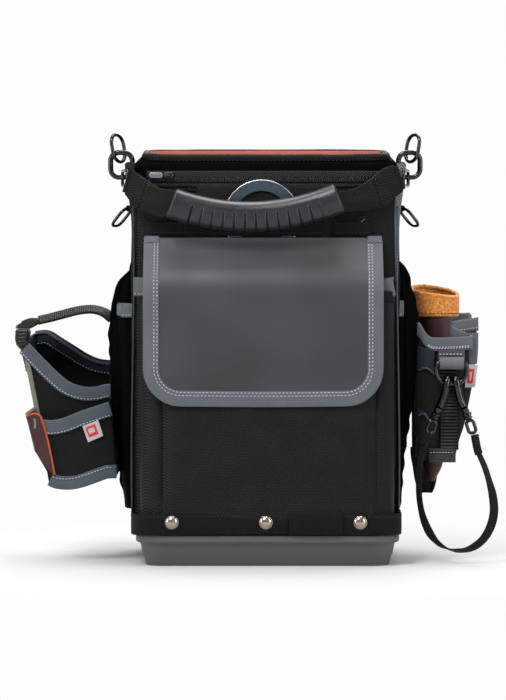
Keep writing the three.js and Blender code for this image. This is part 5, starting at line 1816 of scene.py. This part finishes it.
def ring_webbing():
    """Webbing down the pouch's front: a grey fold over the D-ring, a woven ladder and a stitched end tab."""
    low, high = box_mm("ring_webbing")
    face = high[1]
    cx = (low[0] + high[0]) / 2 + 0.6

    def down(x, y, heights):
        return [at(x, y, z) for z in heights]

    block = down(cx + 0.6, face, (208.6, 202, 194))
    strap("ring_webbing_block", block, 25.5, 2.0, FRONT, "bag", "binding_deep", 2, replaces=["ring_webbing"])
    tack = points_mm((165.4, face - 2.5, 201.4), (188.4, face - 2.5, 201.4))
    stitches("ring_webbing_bar_tack", tack, "bag", "thread", 2.3, 1.2, 0.55, lift=0.1)
    crest = ((0.5, 196.6), (5.5, 198.6), (10.5, 197.6), (13.4, 193.6), (12.6, 188.9), (8, 187.0), (2.0, 187.0))
    fold = [at(cx + 0.4, face - out, z) for out, z in crest]
    strap("ring_webbing_fold", fold, 23.5, 1.5, lambda p, t: Vector((0, -t.z, t.y)), "bag", "tab", 1)
    # the gaps between the bars are the dark band webbing, far darker than the grey bars: painted shade between
    # the ribs
    ladder = down(cx - 1.6, face + 0.1, (187, 160, 130, 109))
    strap("ring_webbing_ladder", ladder, 18.5, 1.4, FRONT, "bag", "band", 2)
    bars, first_z, pitch = 24, 184, 3.15
    for k in range(bars):
        z = first_z - k * pitch
        bar = points_mm((cx - 9.6, face - 1.4, z), (cx - 2, face - 1.9, z), (cx + 6.0, face - 1.4, z))
        wire(f"ladder_bar_{k}", bar, 1.0, "bag", "webbing_grey", step=2, sides=8, flat=0.7)
    edge = down(cx + 6.6, face - 1.8, (172, 109))
    stitches("ladder_stitches", edge, "bag", "dark_thread", 1.6, 0.5, 0.5, lift=0.1)
    end = down(cx - 8.4, face + 0.1, (110.4, 104, 97))
    strap("ring_webbing_end_tab", end, 26.5, 2.6, FRONT, "bag", "webbing_grey", 2)
    across = points_mm((cx - 20, face - 3.2, 106.6), (cx + 3, face - 3.2, 106.6))
    stitches("end_tab_stitches", across, "bag", "thread", 1.8, 1.1, 0.34)


# ------------------------------------------------------------------ ring, hooks and lanyard

def pouch_ring():
    """The D-ring: a straight bar on top and a round bow below."""
    low, high = box_mm("pouch_ring")
    centre = (low + high) / 2
    radius, corner, bow_steps = 2.1, 4.0, 32
    w, h = (high[0] - low[0]) / 2 - radius, (high[2] - low[2]) / 2 - radius
    turn = [math.pi / 2 * k / 8 for k in range(9)]
    outline = [(-w + corner - corner * math.cos(a), h - corner + corner * math.sin(a)) for a in turn]
    outline += [(w - corner + corner * math.sin(a), h - corner + corner * math.cos(a)) for a in turn]
    for k in range(1, bow_steps):
        angle = -math.pi * k / bow_steps
        drop = (2 * h - corner) * power(math.sin(angle), 0.8)
        outline.append((w * power(math.cos(angle), 0.72), h - corner + drop))
    closed = [at(centre[0] + u, centre[1], centre[2] + v) for u, v in outline + outline[:1]]
    path = even(closed, 1 * MM, True)
    section = round_section(radius * MM, 16)
    sweep("pouch_ring_wire", path, section, FRONT, "pouch_ring", "gunmetal", True, 80, ["pouch_ring"])


# the hook's frame from under its gate's foot, round its back and over its nose, as (height, how far in front)
HOOK_FRAME = ((-24.6, 6.4), (-28, 5), (-29.6, 1.5), (-29.6, -1.5), (-28, -5), (-22, -6.4), (-12, -6.4),
              (-2, -6.3), (3, -5), (5.2, -1.8), (5.2, 1.8), (3.4, 5), (-1, 6.4), (-3, 6.5))
HOOK_BARREL = ((0, 0), (3.4, 0.1), (4.2, 0.8), (4.4, 1.8), (4.4, 3.0), (3.6, 3.5), (3.6, 4.3), (4.3, 4.8),
               (4.3, 6.0), (3.4, 6.9), (2.4, 7.6), (0.5, 7.6))


def snap_hook(name, side):
    """A trigger hook hung from the pouch's ring, leaning outwards, its gate at its front."""
    origin_z = box_mm("pouch_ring")[0][2] + 2.8
    angle = math.radians(18.5) * side
    origin = at(176.7 + side * 5, -63.5, origin_z)
    u_axis = Vector((math.cos(angle), 0, math.sin(angle)))
    v_axis = Vector((-math.sin(angle), 0, math.cos(angle)))

    def bowed(v, out):
        """A place up and out on the hook's frame, which bows a little towards the middle."""
        u = -side * 1.7 * arch(max(0, min(1, -v / 30)))
        return origin + (u_axis * u + v_axis * v + Vector(FRONT) * out) * MM

    def bar(piece_name, line, sides, body, node):
        path = smooth_path([bowed(v, out) for v, out in line], 0.7 * MM)
        section = round_section(2.8 * MM, sides, 1.15)
        sweep(piece_name, path, section, u_axis, body, "gunmetal", False, 80, [node])

    bar(f"snap_hook_{name}_frame", HOOK_FRAME, 18, "hooks", f"snap_hook_{name}")
    barrel_top = origin - v_axis * 29.8 * MM
    lathe(f"snap_hook_{name}_barrel", HOOK_BARREL, barrel_top, -v_axis, "hooks", "gunmetal", 28)
    ring(f"snap_hook_{name}_eye", origin - v_axis * 44.4 * MM, u_axis, v_axis, 10.5, 15.5, 4.6, 1.7, "hooks")
    gate = [(v, 6.5) for v in (-3.8, -10, -17, -23.6)]
    bar(f"hook_gate_{name}_bar", gate, 16, f"gate_{name}", f"hook_gate_{name}")
    thumb = [bowed(-17, 8.0), bowed(-18.6, 9.0), bowed(-20.4, 8.0)]
    wire(f"hook_gate_{name}_thumb", thumb, 1.2, f"gate_{name}", "gunmetal", step=0.6, sides=10)


LANYARD_ROUTE = ((154.4, -63.5, 124.3), (150.2, -64, 112), (146.6, -65, 96), (145.4, -66, 78),
                 (146.4, -67, 60), (150.2, -67.5, 43), (157.5, -67, 27.5), (168, -66, 17), (181, -64.5, 12.8),
                 (194.5, -63, 14.2), (206.5, -62, 22), (214.5, -61.5, 34.5), (218, -62, 49), (217, -63, 64),
                 (213.4, -63.5, 79), (208.6, -63.5, 94), (202.4, -63.5, 108.5), (199.1, -63.5, 124.3))
# (share of the route, how far its face is turned from the front in degrees)
LANYARD_TURNS = ((0.0, 66), (0.26, 58), (0.36, 34), (0.42, 62), (0.46, 84), (0.50, 62), (0.58, 28),
                 (0.66, 12), (0.74, 20), (0.84, 52), (1.0, 62))


def lanyard_turn(share):
    for (a, x), (b, y) in zip(LANYARD_TURNS, LANYARD_TURNS[1:]):
        if share <= b:
            return math.radians(x + (y - x) * ease(share, a, b))
    return math.radians(LANYARD_TURNS[-1][1])


def lanyard():
    """Flat webbing from one hook's eye down round a loop, with one half twist, and up to the other's."""
    width, thick = 9.0, 1.7
    route = points_mm(*LANYARD_ROUTE)
    path = smooth_path(route, 1.6 * MM)
    last = len(path) - 1
    section = [(u, v - thick / 2 * MM) for u, v in strap_section(width, thick)]
    facing = [Matrix.Rotation(lanyard_turn(i / last), 3, tangent) @ square_to(Vector(FRONT), tangent)
              for i, tangent in enumerate(tangents(path, False))]
    cord = sweep("lanyard_webbing", path, section, facing, "hooks", "webbing", False, 50, ["lanyard"])
    # sewn ends: the right one is gathered into a knot-like sleeve under its eye
    for name, line, radius in (("left", path[:7], 2.8), ("right", path[-13:], 3.9)):
        wire(f"lanyard_{name}_sleeve", line, radius, "hooks", "webbing", step=None, flat=0.8)


studio()
camera()
lanyard()
base_tray()
skirt_band()
rivets()
front_wall()
back_wall()
for side_name, way in SIDES:
    side_wall(side_name, way)
lining()
divider()
rim_roll()
zipper()
steel_ring()
steel_disc("left", 5, 75)
steel_disc("right", -75, 10)
front_webbing()
front_pocket()
tabs()
front_flap()
handle_grip()
for side_name, way in SIDES:
    handle_strap(side_name, way)
for side_name, way in SIDES:
    corner_rings(side_name, way)
for side_name, way in SIDES:
    side_pocket(side_name, way)
    hanger(side_name, way)
holster()
holster_pocket()
leather_sleeve()
holster_strap()
pouch()
leather_cuff()
leather_tube()
ring_webbing()
pouch_ring()
for side_name, way in SIDES:
    snap_hook(side_name, way)
